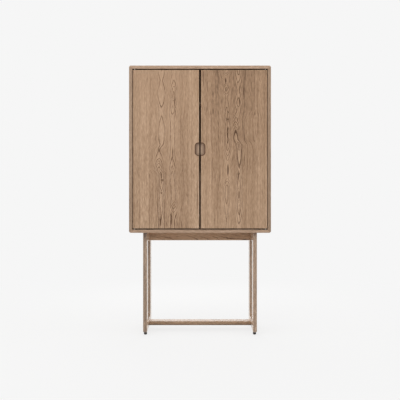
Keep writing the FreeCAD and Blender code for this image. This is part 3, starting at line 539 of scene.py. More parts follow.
@dataclass(frozen=True)
class Oak(Finish):
    """Brushed oak with a matt clear finish, figured as a board sawn from a log."""

    lot: OakLot
    grain: Axis
    face: Axis
    low: Vector
    high: Vector
    seed: int
    finish: OakFinish
    figure: Figure

    @property
    def width(self) -> Axis:
        """The axis that is neither the grain's nor the face's."""
        return next(axis for axis in Axis if axis not in (self.grain, self.face))

    def surface(self, shader: Shader) -> Value:
        """Writes the board's wood and clear finish, and a painted shadow along a door's free edge
        over them.

        Args:
            shader: The material's shader.

        Returns:
            The surface.
        """
        finish = self.finish
        parts = shader.split(shader.place())
        tone, pores, fibres = self._wood(shader, parts)
        surface = shader.principled({
            "Base Color": self._colour(shader, parts, tone, pores, fibres),
            "Roughness": finish.roughness - tone * finish.pale_gloss + pores * finish.pore_roughness,
            "Normal": shader.bump(tone * finish.pale_relief - pores, finish.relief, finish.bump),
            "Specular IOR Level": finish.specular,
            "Coat Weight": finish.coat,
            "Coat Roughness": finish.coat_roughness,
        })
        if finish.free_edge is None:
            return surface
        # Painted shadow: a dark matt sheet along the free edge, where the gap between the doors is in
        # shade.
        from_edge = abs(parts[self.width.value] - finish.free_edge)
        gap_shadowed = from_edge.within(finish.gap_shadow_reach, finish.gap_shadow_core)
        from_front = parts[self.face.value] - self.low[self.face.value]
        gap_shadowed = gap_shadowed * from_front.within(finish.gap_shadow_depth, finish.gap_shadow_depth_core)
        gap_shadow = shader.principled({"Base Color": self.lot.gap_shadow, "Roughness": finish.gap_shadow_roughness,
                                  "Specular IOR Level": 0.0})
        return shader.over(gap_shadowed * finish.gap_shadow_cover, surface, gap_shadow)

    def _middle(self, axis: Axis) -> float:
        """Middle of the board along an axis."""
        return (self.low[axis.value] + self.high[axis.value]) / 2

    def _span(self, axis: Axis) -> float:
        """Size of the board along an axis."""
        return self.high[axis.value] - self.low[axis.value]

    def _shift(self, step: Triple) -> Triple:
        """Place of this board in a noise, so many steps from the first one."""
        return self.seed * step[0], self.seed * step[1], self.seed * step[2]

    def _wood(self, shader: Shader, parts: Sequence[Value]) -> tuple[Value, Value, Value]:
        """Works out the wood's tone, from the figure and from the grain along its fibres.

        Args:
            shader: The material's shader.
            parts: The place's three parts.

        Returns:
            The tone, a mask of the pores, and the noise of the fibres.
        """
        figure, scale = self.figure, self.figure.scale
        across = parts[self.width.value] - self._middle(self.width)
        through = parts[self.face.value] - self.low[self.face.value]
        along = parts[self.grain.value] - self._middle(self.grain)
        tone, early_wood, flow = self._cut(shader, across, through, along)
        shift = self._shift(FIBRE_STEP)
        strokes, fibres, flecks, clouds, pores = (
            shader.grains(flow, grains, shift)
            for grains in (scale.strokes, scale.fibres, scale.flecks, scale.clouds, scale.pores))
        pores = pores.rise(*scale.pore_band)
        pores = pores * (scale.late_pores + early_wood * (1 - scale.late_pores))
        tone = tone + strokes * scale.stroke_share + fibres * scale.fibre_share
        tone = tone + clouds * scale.cloud_share
        tone = tone - flecks.rise(*scale.fleck_band) * scale.fleck_share
        tone = (tone - MIDDLE_TONE) * (figure.liveliness - along * figure.calming) + MIDDLE_TONE
        for shade, inward in ((self.finish.underside_shade, parts[2] - self.low.z),
                              (self.finish.upper_end_shade, self.high.z - parts[2])):
            if shade:
                tone = tone - inward.rise(self.finish.shade_reach, 0.0, shade)
        return tone, pores, fibres

    def _colour(self, shader: Shader, parts: Sequence[Value], tone: Value, pores: Value,
                fibres: Value) -> Value:
        """Colours the wood: by its tone, pores and end grain, then painted light on edges and wide
        faces.

        Args:
            shader: The material's shader.
            parts: The place's three parts.
            tone: The wood's tone.
            pores: Mask of the pores.
            fibres: Noise of the fibres, which breaks up the painted edge highlight.

        Returns:
            The colour.
        """
        lot, finish = self.lot, self.finish
        colour = shader.ramp(tone, ((0.0, lot.deep), (BODY_TONE, lot.body), (1.0, lot.pale)))
        colour = shader.mix(pores * finish.pore_tint, colour, lot.pore)
        end_grain = shader.faces(self.grain, END_GRAIN_BAND)
        colour = shader.mix(end_grain * finish.end_grain_tint, colour, lot.deep)
        # Painted highlight along the eased edges.
        colour = shader.mix(self._edge_highlight(parts, fibres) * finish.edge_highlight, colour, lot.pale)
        # Painted light on the wide faces.
        if finish.painted_face_light:
            wide_face = shader.faces(self.face, WIDE_FACE_BAND)
            colour = shader.mix(wide_face * finish.painted_face_light, colour, lot.pale)
        return colour

    def _edge_highlight(self, parts: Sequence[Value], fibres: Value) -> Value:
        """Mask of the painted edge highlight, where the second nearest pair of faces is close too.

        Args:
            parts: The place's three parts.
            fibres: Noise that breaks the mask up.

        Returns:
            The mask.
        """
        first, second, third = (
            self._span(axis) / 2 - abs(parts[axis.value] - self._middle(axis)) for axis in Axis)
        second_nearest = first.least(second).most(first.most(second).least(third))
        breaks = self.finish.edge_evenness + fibres * self.finish.edge_breaks
        return second_nearest.within(self.finish.edge_width, self.finish.edge_core) * breaks

    def _cut(self, shader: Shader, across: Value, through: Value,
             along: Value) -> tuple[Value, Value, Value]:
        """Works out the log's rings where the board cuts them.

        Args:
            shader: The material's shader.
            across: Place across the face, from the board's middle.
            through: Place through the thickness, from the lower face.
            along: Place along the grain, from the board's middle.

        Returns:
            The tone, a mask of the early wood, and the place in a frame that follows the fibres.
        """
        scale, shift = self.figure.scale, self._shift(WOBBLE_STEP)
        heart, depth, shade, start = self._planks(across, along)
        eyes = [(eye, eye.mask(across, along)) for eye in self.figure.eyes]
        place = shader.join(across, through, along)
        sway = shader.noise(along * (1 / scale.sway_pitch) + start, detail=3.0)
        wander = shader.noise(along * (1 / scale.wander_pitch) + start)
        ripple, shake, patches = (shader.grains(place, grains, shift, detail=2.0)
                                  for grains in (scale.ripples, scale.jitter, scale.patches))
        patches = patches.rise(*scale.patch_band)
        out = across - heart + sway * scale.sway + ripple * scale.ripple
        down = through + depth + wander * scale.wander
        for eye, mask in eyes:
            down = down + mask * eye.bulge
        creased = abs(out) + scale.crease
        distance = (creased * creased + down * down) ** 0.5 + shake * scale.shake
        near = abs(out).within(scale.column_reach, scale.column_core)
        slope = creased / distance + scale.least_slope
        lines, early_wood = self._rings(shader, distance, slope, near, start)
        bands = shader.noise(distance * (1 / scale.band_pitch) + start, detail=2.0)
        streaks = shader.noise(across * (1 / scale.streak_pitch) + start, detail=2.0)
        tone = MIDDLE_TONE + bands * scale.band_share + streaks * scale.streak_share
        tone = tone + along * self.figure.fade + shade + near * scale.column_glow
        weight = (scale.quiet_lines + patches * (1 - scale.quiet_lines)) * scale.line_share
        tone = tone - lines * (weight + near * scale.column_share)
        for eye, mask in eyes:
            tone = tone - mask * eye.shade
        return tone, early_wood, shader.join(out, through, along)

    def _planks(self, across: Value,
                along: Value) -> tuple[Value | float, Value, Value | float, Value | float]:
        """Follows the log's heart from plank to plank across the board.

        Args:
            across: Place across the face, from the board's middle.
            along: Place along the grain, from the board's middle.

        Returns:
            The heart's place across the face and its depth, and the plank's shade and first year.
        """
        planks = self.figure.planks or (Plank.drawn(self.seed, self._span(self.width)),)
        cuts = [(*plank.heart_along(along), plank.shade) for plank in planks]
        cut, start = cuts[0], self.seed * LOG_STEP
        for plank, before, after in zip(planks[1:], cuts, cuts[1:]):
            inside = across > plank.start
            cut = tuple(inside * (new - old) + now for new, old, now in zip(after, before, cut))
            start = inside * (PLANK_STEP + plank.first_year) + start
        return *cut, start

    def _rings(self, shader: Shader, distance: Value, slope: Value, near: Value,
               start: Value | float) -> tuple[Value, Value]:
        """Draws each year's ring as a dark line, some years far darker than others.

        Args:
            shader: The material's shader.
            distance: Distance from the log's heart.
            slope: How fast that distance grows along the face, so that lines keep their width.
            near: 1 over the heart, where every year shows.
            start: The plank's first year.

        Returns:
            The dark lines, and a mask of the early wood in every ring.
        """
        scale = self.figure.scale
        years = distance * (1 / scale.ring_pitch)
        wobble = shader.noise(years * scale.year_wobble_grains + start)
        years = years + wobble * scale.year_wobble
        year = years.rounded_down()
        early = ((years - year) / slope).within(scale.line_width / scale.ring_pitch)
        white_noise = {"noise_dimensions": "1D"}
        hardship = shader.node("ShaderNodeTexWhiteNoise", white_noise, {"W": year + start})
        evenness = near * scale.column_evenness
        return early * (hardship ** scale.year_contrast * (1.0 - evenness) + evenness), early


# ---- metal and plastic


@dataclass(frozen=True)
class Texture:
    """Fine marks of the tool and coarser smears of use, in grains in a metre, and their depth."""

    marks: Triple
    smears: Triple
    depth: float
    strength: float
    roughness: float
    marks_roughness: float
    smears_roughness: float
    metallic: float = 0.0
    marks_detail: float = 2.0
    smears_detail: float = 3.0
    smears_layers: float = 0.6


@dataclass(frozen=True)
class HardFinish(Finish):
    """Metal or plastic with a fine texture; each kind gives its own colour."""

    @property
    @abstractmethod
    def texture(self) -> Texture:
        """The surface's texture."""

    @abstractmethod
    def colour(self, shader: Shader, place: Value, smears: Value) -> Value:
        """The surface's colour, which the smears may change."""

    def surface(self, shader: Shader) -> Value:
        """Writes the textured surface.

        Args:
            shader: The material's shader.

        Returns:
            The surface.
        """
        texture, place = self.texture, shader.place()
        marks = shader.grains(place, texture.marks, detail=texture.marks_detail)
        smears = shader.grains(place, texture.smears, detail=texture.smears_detail,
                               roughness=texture.smears_layers)
        roughness = texture.roughness + marks * texture.marks_roughness
        return shader.principled({
            "Base Color": self.colour(shader, place, smears),
            "Metallic": texture.metallic,
            "Roughness": roughness + smears * texture.smears_roughness,
            "Normal": shader.bump(marks, texture.depth, texture.strength),
        })


@dataclass(frozen=True)
class Bronze(HardFinish):
    """Dark bronze of a finger pull, browner on the lip, painted shade in the corners of the cup."""

    low: Vector
    high: Vector
    middle_colour: Colour = tint(166, 139, 117)
    rim_shade_colour: Colour = tint(92, 64, 46)
    lip_colour: Colour = tint(90, 62, 44)
    lip_depth: float = 0.003
    lip_fade: float = 0.0039
    rim_shade_reach: float = 0.006
    corner_shade_reach: float = 0.024
    smear_share: float = 0.1

    @property
    def texture(self) -> Texture:
        """Brushed up and down, with patches of patina."""
        return Texture(marks=(900.0, 900.0, 60.0), smears=(70.0, 70.0, 70.0), depth=0.00005,
                       strength=0.2, roughness=0.44, marks_roughness=0.05, smears_roughness=0.06,
                       metallic=0.55)

    def colour(self, shader: Shader, place: Value, smears: Value) -> Value:
        """Painted shade round the rim and in the corners, paler towards the middle of the two cups.

        Args:
            shader: The material's shader.
            place: The place on the cup.
            smears: Noise of the patina.

        Returns:
            The colour.
        """
        across, back, up = shader.split(place)
        reach = self.high.x if self.high.x > 0 else -self.low.x
        middle, half = (self.low.z + self.high.z) / 2, (self.high.z - self.low.z) / 2
        # Painted shade: darker near the rim and deeper in the corners, broken up by patches of
        # patina.
        from_rim = (reach - abs(across)).least(half - abs(up - middle))
        worn_and_unshaded = from_rim.rise(0.0, self.rim_shade_reach, 0.5) + from_rim.rise(0.0, self.corner_shade_reach, 0.5)
        worn_and_unshaded = (worn_and_unshaded + smears * self.smear_share).least(1.0)
        colour = shader.mix(worn_and_unshaded, self.rim_shade_colour, self.middle_colour)
        lip = (back - self.low.y).rise(self.lip_fade, self.lip_depth)
        return shader.mix(lip, colour, self.lip_colour)


@dataclass(frozen=True)
class Steel(HardFinish):
    """Satin steel of the hinges, pivots and screws."""

    bright: Colour = tint(196, 192, 185)
    dull: Colour = tint(160, 155, 148)

    @property
    def texture(self) -> Texture:
        """Brushed from side to side, with faint smears."""
        return Texture(marks=(60.0, 1400.0, 1400.0), smears=(45.0, 45.0, 45.0), depth=0.00004,
                       strength=0.25, roughness=0.34, marks_roughness=0.08, smears_roughness=0.05,
                       metallic=1.0)

    def colour(self, shader: Shader, place: Value, smears: Value) -> Value:
        """Duller where it is smeared."""
        return shader.mix(0.5 + smears * 0.5, self.bright, self.dull)


@dataclass(frozen=True)
class Plastic(HardFinish):
    """Moulded plastic with a fine spark-eroded surface."""

    fresh: Colour
    worn_and_unshaded: Colour
    worn_band: Band = (0.1, 0.7)

    @property
    def texture(self) -> Texture:
        """Stippled all over, with upright scuffs."""
        return Texture(marks=(2200.0, 2200.0, 2200.0), smears=(120.0, 120.0, 300.0), depth=0.00004,
                       strength=0.3, roughness=0.5, marks_roughness=0.08, smears_roughness=0.08)

    def colour(self, shader: Shader, place: Value, smears: Value) -> Value:
        """Paler where it is scuffed."""
        return shader.mix(smears.rise(*self.worn_band), self.fresh, self.worn_and_unshaded)


# ---- workshop


@dataclass
class CrossScrews:
    """Low cross-recessed screw heads that stand on a plate or a board.

    The dome is the head's profile from the foot up, as shares of its radius and height. The
    pivot insets are the places of the two heads on a pivot plate, from its outer end.
    """

    material: bpy.types.Material
    slot: str = "steel_hardware"
    radius: float = 0.0032
    height: float = 0.0009
    dome: tuple[Band, ...] = ((1.0, 0.0), (0.97, 0.45), (0.86, 0.85), (0.72, 1.0))
    arm_reach: float = 0.62
    waist_reach: float = 0.2
    recess_share: float = 0.75
    floor_share: float = 0.8
    twist: float = 0.7
    segments: int = 24
    pivot_insets: Band = (0.024, 0.050)

    def add(self, name: str, body: str, places: Sequence[Vector], facing: Vector) -> None:
        """Builds a group of screw heads as one piece and sets it on a body.

        Args:
            name: The piece's name.
            body: The body that carries it.
            places: Middles of the heads on the carrying surface.
            facing: Direction that the heads face.
        """
        turn = facing.to_track_quat("Z", "Y").to_matrix().to_4x4()
        vertices: list[Vector] = []
        faces: list[tuple[int, ...]] = []
        for index, place in enumerate(places):
            twist = Matrix.Rotation(index * self.twist, 4, "Z")
            self._head(Matrix.Translation(place) @ turn @ twist, vertices, faces)
        mesh = bpy.data.meshes.new(name)
        mesh.from_pydata(vertices, [], faces)
        mesh.materials.append(self.material)
        piece = bpy.data.objects.new(name, mesh)
        bpy.context.scene.collection.objects.link(piece)
        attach(piece, body)
        logger.info("added %s: %d heads on %s", name, len(places), body)

    def add_on_pivots(self, body: str, plates: str, sides: Iterable[Side],
                      lower: tuple[float, int], upper: tuple[float, int]) -> None:
        """Adds two heads to each of a body's pivot plates.

        Args:
            body: The body.
            plates: The node that holds its plates.
            sides: Sides of the cabinet on which it has plates.
            lower: Height of the lower plates' open faces, and the sign of z that they face.
            upper: The same for the upper plates.
        """
        low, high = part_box(plates)
        outer, middle = max(-low.x, high.x), (low.y + high.y) / 2
        xs = [side.sign * (outer - inset) for side in sides for inset in self.pivot_insets]
        for end, (height, facing) in (("lower", lower), ("upper", upper)):
            places = [Vector((x, middle, height)) for x in xs]
            self.add(f"{body}_pivot_screws_{end}", body, places, Vector((0, 0, facing)))

    def _head(self, to_place: Matrix, vertices: list[Vector], faces: list[tuple[int, ...]]) -> None:
        """Adds one head: a rounded disc with a cross sunk into its top.

        Args:
            to_place: Takes the head from the origin to its place.
            vertices: Vertices so far, which the head's are added to.
            faces: Faces so far, likewise.
        """
        around = range(self.segments)
        rings = [[(reach, rise)] * self.segments for reach, rise in self.dome]
        for share, rise in ((1.0, 1.0), (self.floor_share, 1 - self.recess_share)):
            rings.append([(self._cross(index) * share, rise) for index in around])
        start = len(vertices)
        for ring in rings:
            for index, (reach, rise) in enumerate(ring):
                angle = 2 * math.pi * (index + 0.5) / self.segments
                out = self.radius * reach
                point = Vector((out * math.cos(angle), out * math.sin(angle), self.height * rise))
                vertices.append(to_place @ point)
        last = start + (len(rings) - 1) * self.segments
        for low in range(start, last, self.segments):
            high = low + self.segments
            for index in around:
                following = (index + 1) % self.segments
                faces.append((low + index, low + following, high + following, high + index))
        faces.append(tuple(range(last, last + self.segments)))
        faces.append(tuple(reversed(range(start, start + self.segments))))

    def _cross(self, index: int) -> float:
        """Reach of the cross-shaped recess at one of the ring's points."""
        in_arm = index % (self.segments // 4)
        return self.arm_reach if in_arm in (0, self.segments // 4 - 1) else self.waist_reach


@dataclass
class Workshop:
    """The cabinet's nodes with the finishes they share, and oak boards, each from its own log."""

    nodes: Mapping[str, bpy.types.Object]
    steel: bpy.types.Material
    catch_plastic: bpy.types.Material
    glide_plastic: bpy.types.Material
    screws: CrossScrews
    next_seed: int = 1

    def names(self, start: str) -> list[str]:
        """Names of the nodes that start with a word, in order."""
        return sorted(name for name in self.nodes if name.startswith(start))

    def dress(self, material: bpy.types.Material, *names: str) -> None:
        """Gives every material slot of some nodes the same material.

        Args:
            material: The material.
            names: The nodes' names.
        """
        for name in names:
            node = self.nodes[name]
            if not node.material_slots:
                node.data.materials.append(material)
            for slot in node.material_slots:
                slot.material = material
            logger.info("dressed %s with %s", name, material.name)

    def boards(self, names: Iterable[str], lot: OakLot, grain: Axis, face: Axis,
               finish: OakFinish = OakFinish(), figure: Figure = Figure()) -> None:
        """Dresses nodes in oak, each with a figure of its own.

        Args:
            names: The nodes' names.
            lot: The lot of oak.
            grain: Direction of the grain.
            face: Direction that the boards' wide faces look in.
            finish: The boards' finish.
            figure: The boards' figure, where it isn't left to the seed.
        """
        for name in names:
            low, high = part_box(name)
            oak = Oak(f"oak_{name}", lot, grain, face, low, high, self.next_seed, finish, figure)
            self.dress(oak.material(), name)
            self.next_seed += 1


# ---- sub-assemblies

CASE_OAK_UPRIGHT = OakLot(tint(106, 78, 57), tint(156, 130, 107), tint(190, 164, 140))
CASE_OAK_LEVEL = OakLot(tint(114, 86, 63), tint(176, 147, 123), tint(208, 180, 156))
INSIDE_OAK = OakLot(tint(140, 109, 84), tint(180, 150, 124), tint(206, 179, 153))
DOOR_OAK_LEFT = OakLot(tint(96, 67, 44), tint(170, 138, 109), tint(206, 175, 147))
DOOR_OAK_RIGHT = OakLot(tint(88, 60, 38), tint(163, 131, 102), tint(203, 171, 142))
BASE_OAK_LEFT = OakLot(tint(96, 71, 52), tint(144, 119, 98), tint(204, 176, 150))
BASE_OAK_RIGHT = OakLot(tint(110, 82, 60), tint(168, 141, 117), tint(212, 185, 160))
RAIL_OAK = OakLot(tint(100, 73, 50), tint(172, 138, 108), tint(204, 172, 143))
STRETCHER_OAK = OakLot(tint(94, 68, 48), tint(168, 137, 108), tint(198, 168, 140))


@dataclass
class Case:
    """The mitred case, its back and its pivot plates and catches."""

    shop: Workshop
    catch_screw_from_end: float = 0.007
    catch_screw_from_strike: float = 0.005
    back_screw_count: int = 5
    back_screw_inset: float = 0.05

    def build(self) -> None:
        """Dresses the case and adds its screws."""
        shop, plain_edged = self.shop, OakFinish(edge_highlight=0.0)
        shop.boards(("case_top", "case_bottom"), CASE_OAK_LEVEL, Axis.ACROSS, Axis.UP, plain_edged)
        shop.boards(("case_left", "case_right"), CASE_OAK_UPRIGHT, Axis.UP, Axis.ACROSS,
                    plain_edged)
        shop.boards(("back_panel",), CASE_OAK_UPRIGHT, Axis.UP, Axis.BACK)
        shop.dress(shop.steel, "case_pivot_plates")
        shop.dress(shop.catch_plastic, "catch_magnets")
        floor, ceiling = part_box("case_bottom")[1].z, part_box("case_top")[0].z
        shop.screws.add_on_pivots("case", "case_pivot_plates", Side, (floor, 1), (ceiling, -1))
        self._add_catch_screws()
        self._add_back_screws()

    def _add_catch_screws(self) -> None:
        """Adds the two screws under each catch."""
        low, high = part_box("catch_magnets")
        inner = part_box("right_door_strike")[0].x + self.catch_screw_from_strike
        outer = high.x - self.catch_screw_from_end
        places = [Vector((side.sign * x, (low.y + high.y) / 2, low.z))
                  for side in Side for x in (inner, outer)]
        self.shop.screws.add("catch_screws", "case", places, Vector((0, 0, -1)))

    def _add_back_screws(self) -> None:
        """Adds rows of screws that hold the back panel to the worktop and the upper shelf."""
        low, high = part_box("back_panel")
        pitch = (high.x - low.x - 2 * self.back_screw_inset) / (self.back_screw_count - 1)
        xs = [low.x + self.back_screw_inset + pitch * index
              for index in range(self.back_screw_count)]
        for carrier in ("worktop", "upper_shelf"):
            shelf_low, shelf_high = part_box(carrier)
            height = (shelf_low.z + shelf_high.z) / 2
            places = [Vector((x, high.y, height)) for x in xs]
            self.shop.screws.add(f"back_screws_{carrier}", "case", places, Vector((0, 1, 0)))


@dataclass
class Interior:
    """Worktop, shelves, partition, bottle rack and glass rails."""

    shop: Workshop

    def build(self) -> None:
        """Dresses everything inside the case."""
        shop = self.shop
        shelves = ("worktop", "upper_shelf", "adjustable_shelf")
        for names, grain, face in (
                (shelves, Axis.ACROSS, Axis.UP),
                (("centre_partition",), Axis.UP, Axis.ACROSS),
                (shop.names("rack_divider_"), Axis.BACK, Axis.ACROSS),
                (shop.names("rack_shelf_"), Axis.ACROSS, Axis.UP),
                (shop.names("glass_rail_"), Axis.BACK, Axis.UP)):
            shop.boards(names, INSIDE_OAK, grain, face)
        shop.dress(shop.steel, "shelf_pins")


@dataclass
class Door:
    """One door with its pull cup, pivot plates and strike."""

    shop: Workshop
    side: Side
    lot: OakLot
    figure: Figure

    def build(self) -> None:
        """Dresses the door and adds the screws of its pivot plates."""
        shop, door = self.shop, f"{self.side.value}_door"
        panel, plates = f"{door}_panel", f"{door}_pivot_plates"
        panel_low, panel_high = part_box(panel)
        free_edge = panel_high.x if self.side is Side.LEFT else panel_low.x
        # The free edge gets a painted shadow along it, standing in for the shade in the gap.
        shop.boards((panel,), self.lot, Axis.UP, Axis.BACK, OakFinish(free_edge=free_edge),
                    self.figure)
        pull = f"{self.side.value}_pull"
        shop.dress(Bronze(f"bronze_{pull}", *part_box(f"{pull}_cup")).material(), f"{pull}_cup")
        shop.dress(shop.steel, plates, f"{door}_strike")
        low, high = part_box(plates)
        shop.screws.add_on_pivots(door, plates, (self.side,), (low.z, -1), (high.z, 1))


@dataclass
class FoldOutShelf:
    """The leaf on the right door, its hinges, its catch and the swing-out bracket."""

    shop: Workshop
    hinge_width: float = 0.040
    plate_thickness: float = 0.002
    screw_inset: float = 0.009
    screw_from_top: float = 0.009
    mount_screw_rise: float = 0.012

    def build(self) -> None:
        """Dresses the fold-out shelf and adds the screws of its hardware."""
        shop = self.shop
        shop.boards(("shelf_leaf", "bracket_arm"), INSIDE_OAK, Axis.ACROSS, Axis.BACK)
        shop.dress(shop.steel, "leaf_hinge_door_plates", "leaf_hinge_leaf_plates",
                   "leaf_hinge_pins", "leaf_strike", "bracket_mount", "bracket_pin")
        shop.dress(shop.catch_plastic, "leaf_catch")
        door_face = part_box("leaf_hinge_door_plates")[0].y + self.plate_thickness
        leaf_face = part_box("shelf_leaf")[0].y - self.plate_thickness
        self._add_hinge_screws("right_door", 1, door_face)
        self._add_hinge_screws("leaf", -1, leaf_face)
        self._add_mount_screws()

    def _add_hinge_screws(self, body: str, facing: int, face: float) -> None:
        """Adds two screws to each hinge plate on a body.

        Args:
            body: The body that carries the plates.
            facing: Sign of y that the plates face.
            face: y of the plates' open faces.
        """
        low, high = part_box("leaf_hinge_door_plates")
        xs = [left + offset for left in (low.x, high.x - self.hinge_width)
              for offset in (self.screw_inset, self.hinge_width - self.screw_inset)]
        places = [Vector((x, face, high.z - self.screw_from_top)) for x in xs]
        self.shop.screws.add(f"{body}_hinge_screws", body, places, Vector((0, facing, 0)))

    def _add_mount_screws(self) -> None:
        """Adds the two screws in the bracket's mount, behind the arm."""
        low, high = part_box("bracket_mount")
        middle, face = (low + high) / 2, low.y + self.plate_thickness
        places = [Vector((middle.x, face, middle.z + rise))
                  for rise in (-self.mount_screw_rise, self.mount_screw_rise)]
        self.shop.screws.add("bracket_mount_screws", "right_door", places, Vector((0, 1, 0)))


@dataclass
class Base:
    """Two loop-shaped side frames, joined by a cross rail and a stretcher, on glides."""

    shop: Workshop
    frame_finish: OakFinish = OakFinish(bump=0.04, coat=0.8)
    leg_shade: float = 0.6
    rail_finish: OakFinish = OakFinish(upper_end_shade=0.2)
    stretcher_finish: OakFinish = OakFinish(bump=0.05, coat=0.35, underside_shade=0.35)

    def build(self) -> None:
        """Dresses the base."""
        shop = self.shop
        self._side_frame(Side.LEFT, BASE_OAK_LEFT, painted_face_light=0.95, shade_reach=0.060)
        self._side_frame(Side.RIGHT, BASE_OAK_RIGHT, painted_face_light=0.6, shade_reach=0.026)
        shop.boards(("cross_rail",), RAIL_OAK, Axis.ACROSS, Axis.BACK, self.rail_finish)
        shop.boards(("stretcher",), STRETCHER_OAK, Axis.ACROSS, Axis.UP, self.stretcher_finish)
        shop.dress(shop.steel, "base_screws")
        shop.dress(shop.glide_plastic, *shop.names("foot_glide_"))

    def _side_frame(self, side: Side, lot: OakLot, painted_face_light: float, shade_reach: float) -> None:
        """Dresses one side frame.

        Args:
            side: Its side of the cabinet.
            lot: Its lot of oak.
            painted_face_light: How much painted light its wide faces get.
            shade_reach: How far down the case shades its legs.
        """
        name, finish = side.value, replace(self.frame_finish, painted_face_light=painted_face_light)
        shaded = replace(finish, upper_end_shade=self.leg_shade, shade_reach=shade_reach)
        legs, level = ("front_leg", "rear_leg"), ("runner", "top_rail")
        self.shop.boards([f"{name}_{leg}" for leg in legs], lot, Axis.UP, Axis.ACROSS, shaded)
        self.shop.boards([f"{name}_{bar}" for bar in level], lot, Axis.BACK, Axis.ACROSS, finish)


# ---- studio


@dataclass(frozen=True)
class PaleFloor(Finish):
    """Floor that shows pale to the camera and in gloss, and keeps a faint shadow near by."""

    pale: Colour
    matt: Colour = tint(226, 226, 226)
    shadow_share: float = 0.15
    shadow_near: float = 0.8
    shadow_far: float = 2.4

    def surface(self, shader: Shader) -> Value:
        """Writes the floor: a matt one that takes shadows, under a pale one that shines.

        Args:
            shader: The material's shader.

        Returns:
            The surface.
        """
        matt = shader.node("ShaderNodeBsdfDiffuse", inputs={"Color": self.matt})
        shown = shader.node("ShaderNodeEmission", inputs={"Color": self.pale, "Strength": 1.0})
        length = {"operation": "LENGTH"}
        away = shader.node("ShaderNodeVectorMath", length, {0: shader.place()}, "Value")
        shadow = away.rise(self.shadow_far, self.shadow_near) * self.shadow_share
        return shader.over(shader.pale_factor() * (1.0 - shadow), matt, shown)


@dataclass(frozen=True)
class Softbox:
    """A square softbox that hangs at a place and looks at another."""

    name: str
    place: Triple
    aim: Triple
    size: float
    power: float

    def hang(self) -> None:
        """Adds the lamp to the scene."""
        light = bpy.data.lights.new(self.name, "AREA")
        light.size = self.size
        light.energy = self.power
        lamp = bpy.data.objects.new(self.name, light)
        lamp.location = self.place
        view = Vector(self.aim) - Vector(self.place)
        lamp.rotation_euler = view.to_track_quat("-Z", "Y").to_euler()
        bpy.context.scene.collection.objects.link(lamp)


@dataclass
class Studio:
    """Pale floor and surround, soft lamps and the camera.

    Each glow of the surround is a start, an end and a strength: behind, above and on both sides.
    """

    eye_height: float = 0.9107
    aim_height: float = 0.7682
    distance: float = 4.57
    lens: float = 73.0
    sensor: float = 36.0
    floor_size: float = 60.0
    pale: Colour = tint(246, 246, 246)
    light_colour: Colour = (1.0, 0.99, 0.975, 1.0)
    back_glow: Triple = (-1.0, 0.2, 0.8)
    sky_glow: Triple = (-0.2, 1.0, 0.6)
    side_glow: Triple = (0.6, 1.0, 0.6)
    even_glow: float = 0.2
    surround_light: float = 0.55
    lamps: tuple[Softbox, ...] = (
        Softbox("key_softbox", (-1.7, -3.0, 2.7), (0.0, 0.0, 0.85), 2.4, 44.0),
        Softbox("top_softbox", (0.3, -0.9, 3.3), (0.0, 0.0, 0.6), 2.6, 34.0),
        Softbox("back_softbox", (0.0, 2.4, 1.7), (0.0, 0.0, 0.2), 1.8, 40.0),
    )

    def build(self) -> None:
        """Sets up the surround, the floor, the lamps and the camera."""
        bpy.context.scene.view_settings.view_transform = "Standard"
        self._surround()
        self._floor()
        for lamp in self.lamps:
            lamp.hang()
        self._camera()

    def _surround(self) -> None:
        """Lights from all round, and shows pale to the camera and in gloss."""
        world = bpy.data.worlds.new("pale_surround")
        world.use_nodes = True
        bpy.context.scene.world = world
        shader = Shader(world.node_tree)
        across, back, up = shader.split(shader.node("ShaderNodeTexCoord", output="Generated"))
        glow = back.rise(*self.back_glow) + up.rise(*self.sky_glow)
        glow = glow + abs(across).rise(*self.side_glow) + self.even_glow
        strengths = {"Color": self.light_colour, "Strength": glow * self.surround_light}
        light = shader.node("ShaderNodeBackground", inputs=strengths)
        shown = shader.node("ShaderNodeBackground", inputs={"Color": self.pale, "Strength": 1.0})
        mixed = shader.over(shader.pale_factor(), light, shown)
        shader.node("ShaderNodeOutputWorld", inputs={"Surface": mixed})

    def _floor(self) -> None:
        """Lays the floor."""
        half = self.floor_size / 2
        corners = [(-half, -half, 0), (half, -half, 0), (half, half, 0), (-half, half, 0)]
        mesh = bpy.data.meshes.new("floor")
        mesh.from_pydata(corners, [], [(0, 1, 2, 3)])
        mesh.materials.append(PaleFloor("pale_floor", self.pale).material())
        floor = bpy.data.objects.new("floor", mesh)
        bpy.context.scene.collection.objects.link(floor)
        floor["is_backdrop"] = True
        logger.info("laid the floor")

    def _camera(self) -> None:
        """Sets the level camera in front of the doors, shifted down to frame the cabinet."""
        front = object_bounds()[0][1]
        drop = self.aim_height - self.eye_height
        data = bpy.data.cameras.new("front_camera")
        data.lens = self.lens
        data.sensor_width = self.sensor
        data.shift_y = drop * self.lens / (self.distance * self.sensor)
        camera = bpy.data.objects.new("front_camera", data)
        camera.location = (0.0, front - self.distance, self.eye_height)
        camera.rotation_euler = (math.radians(90), 0.0, 0.0)
        bpy.context.scene.collection.objects.link(camera)
        bpy.context.scene.camera = camera


# ---- figures of the doors

DOOR_SCALE = GrainScale(wander=0.0015, sway=0.004)


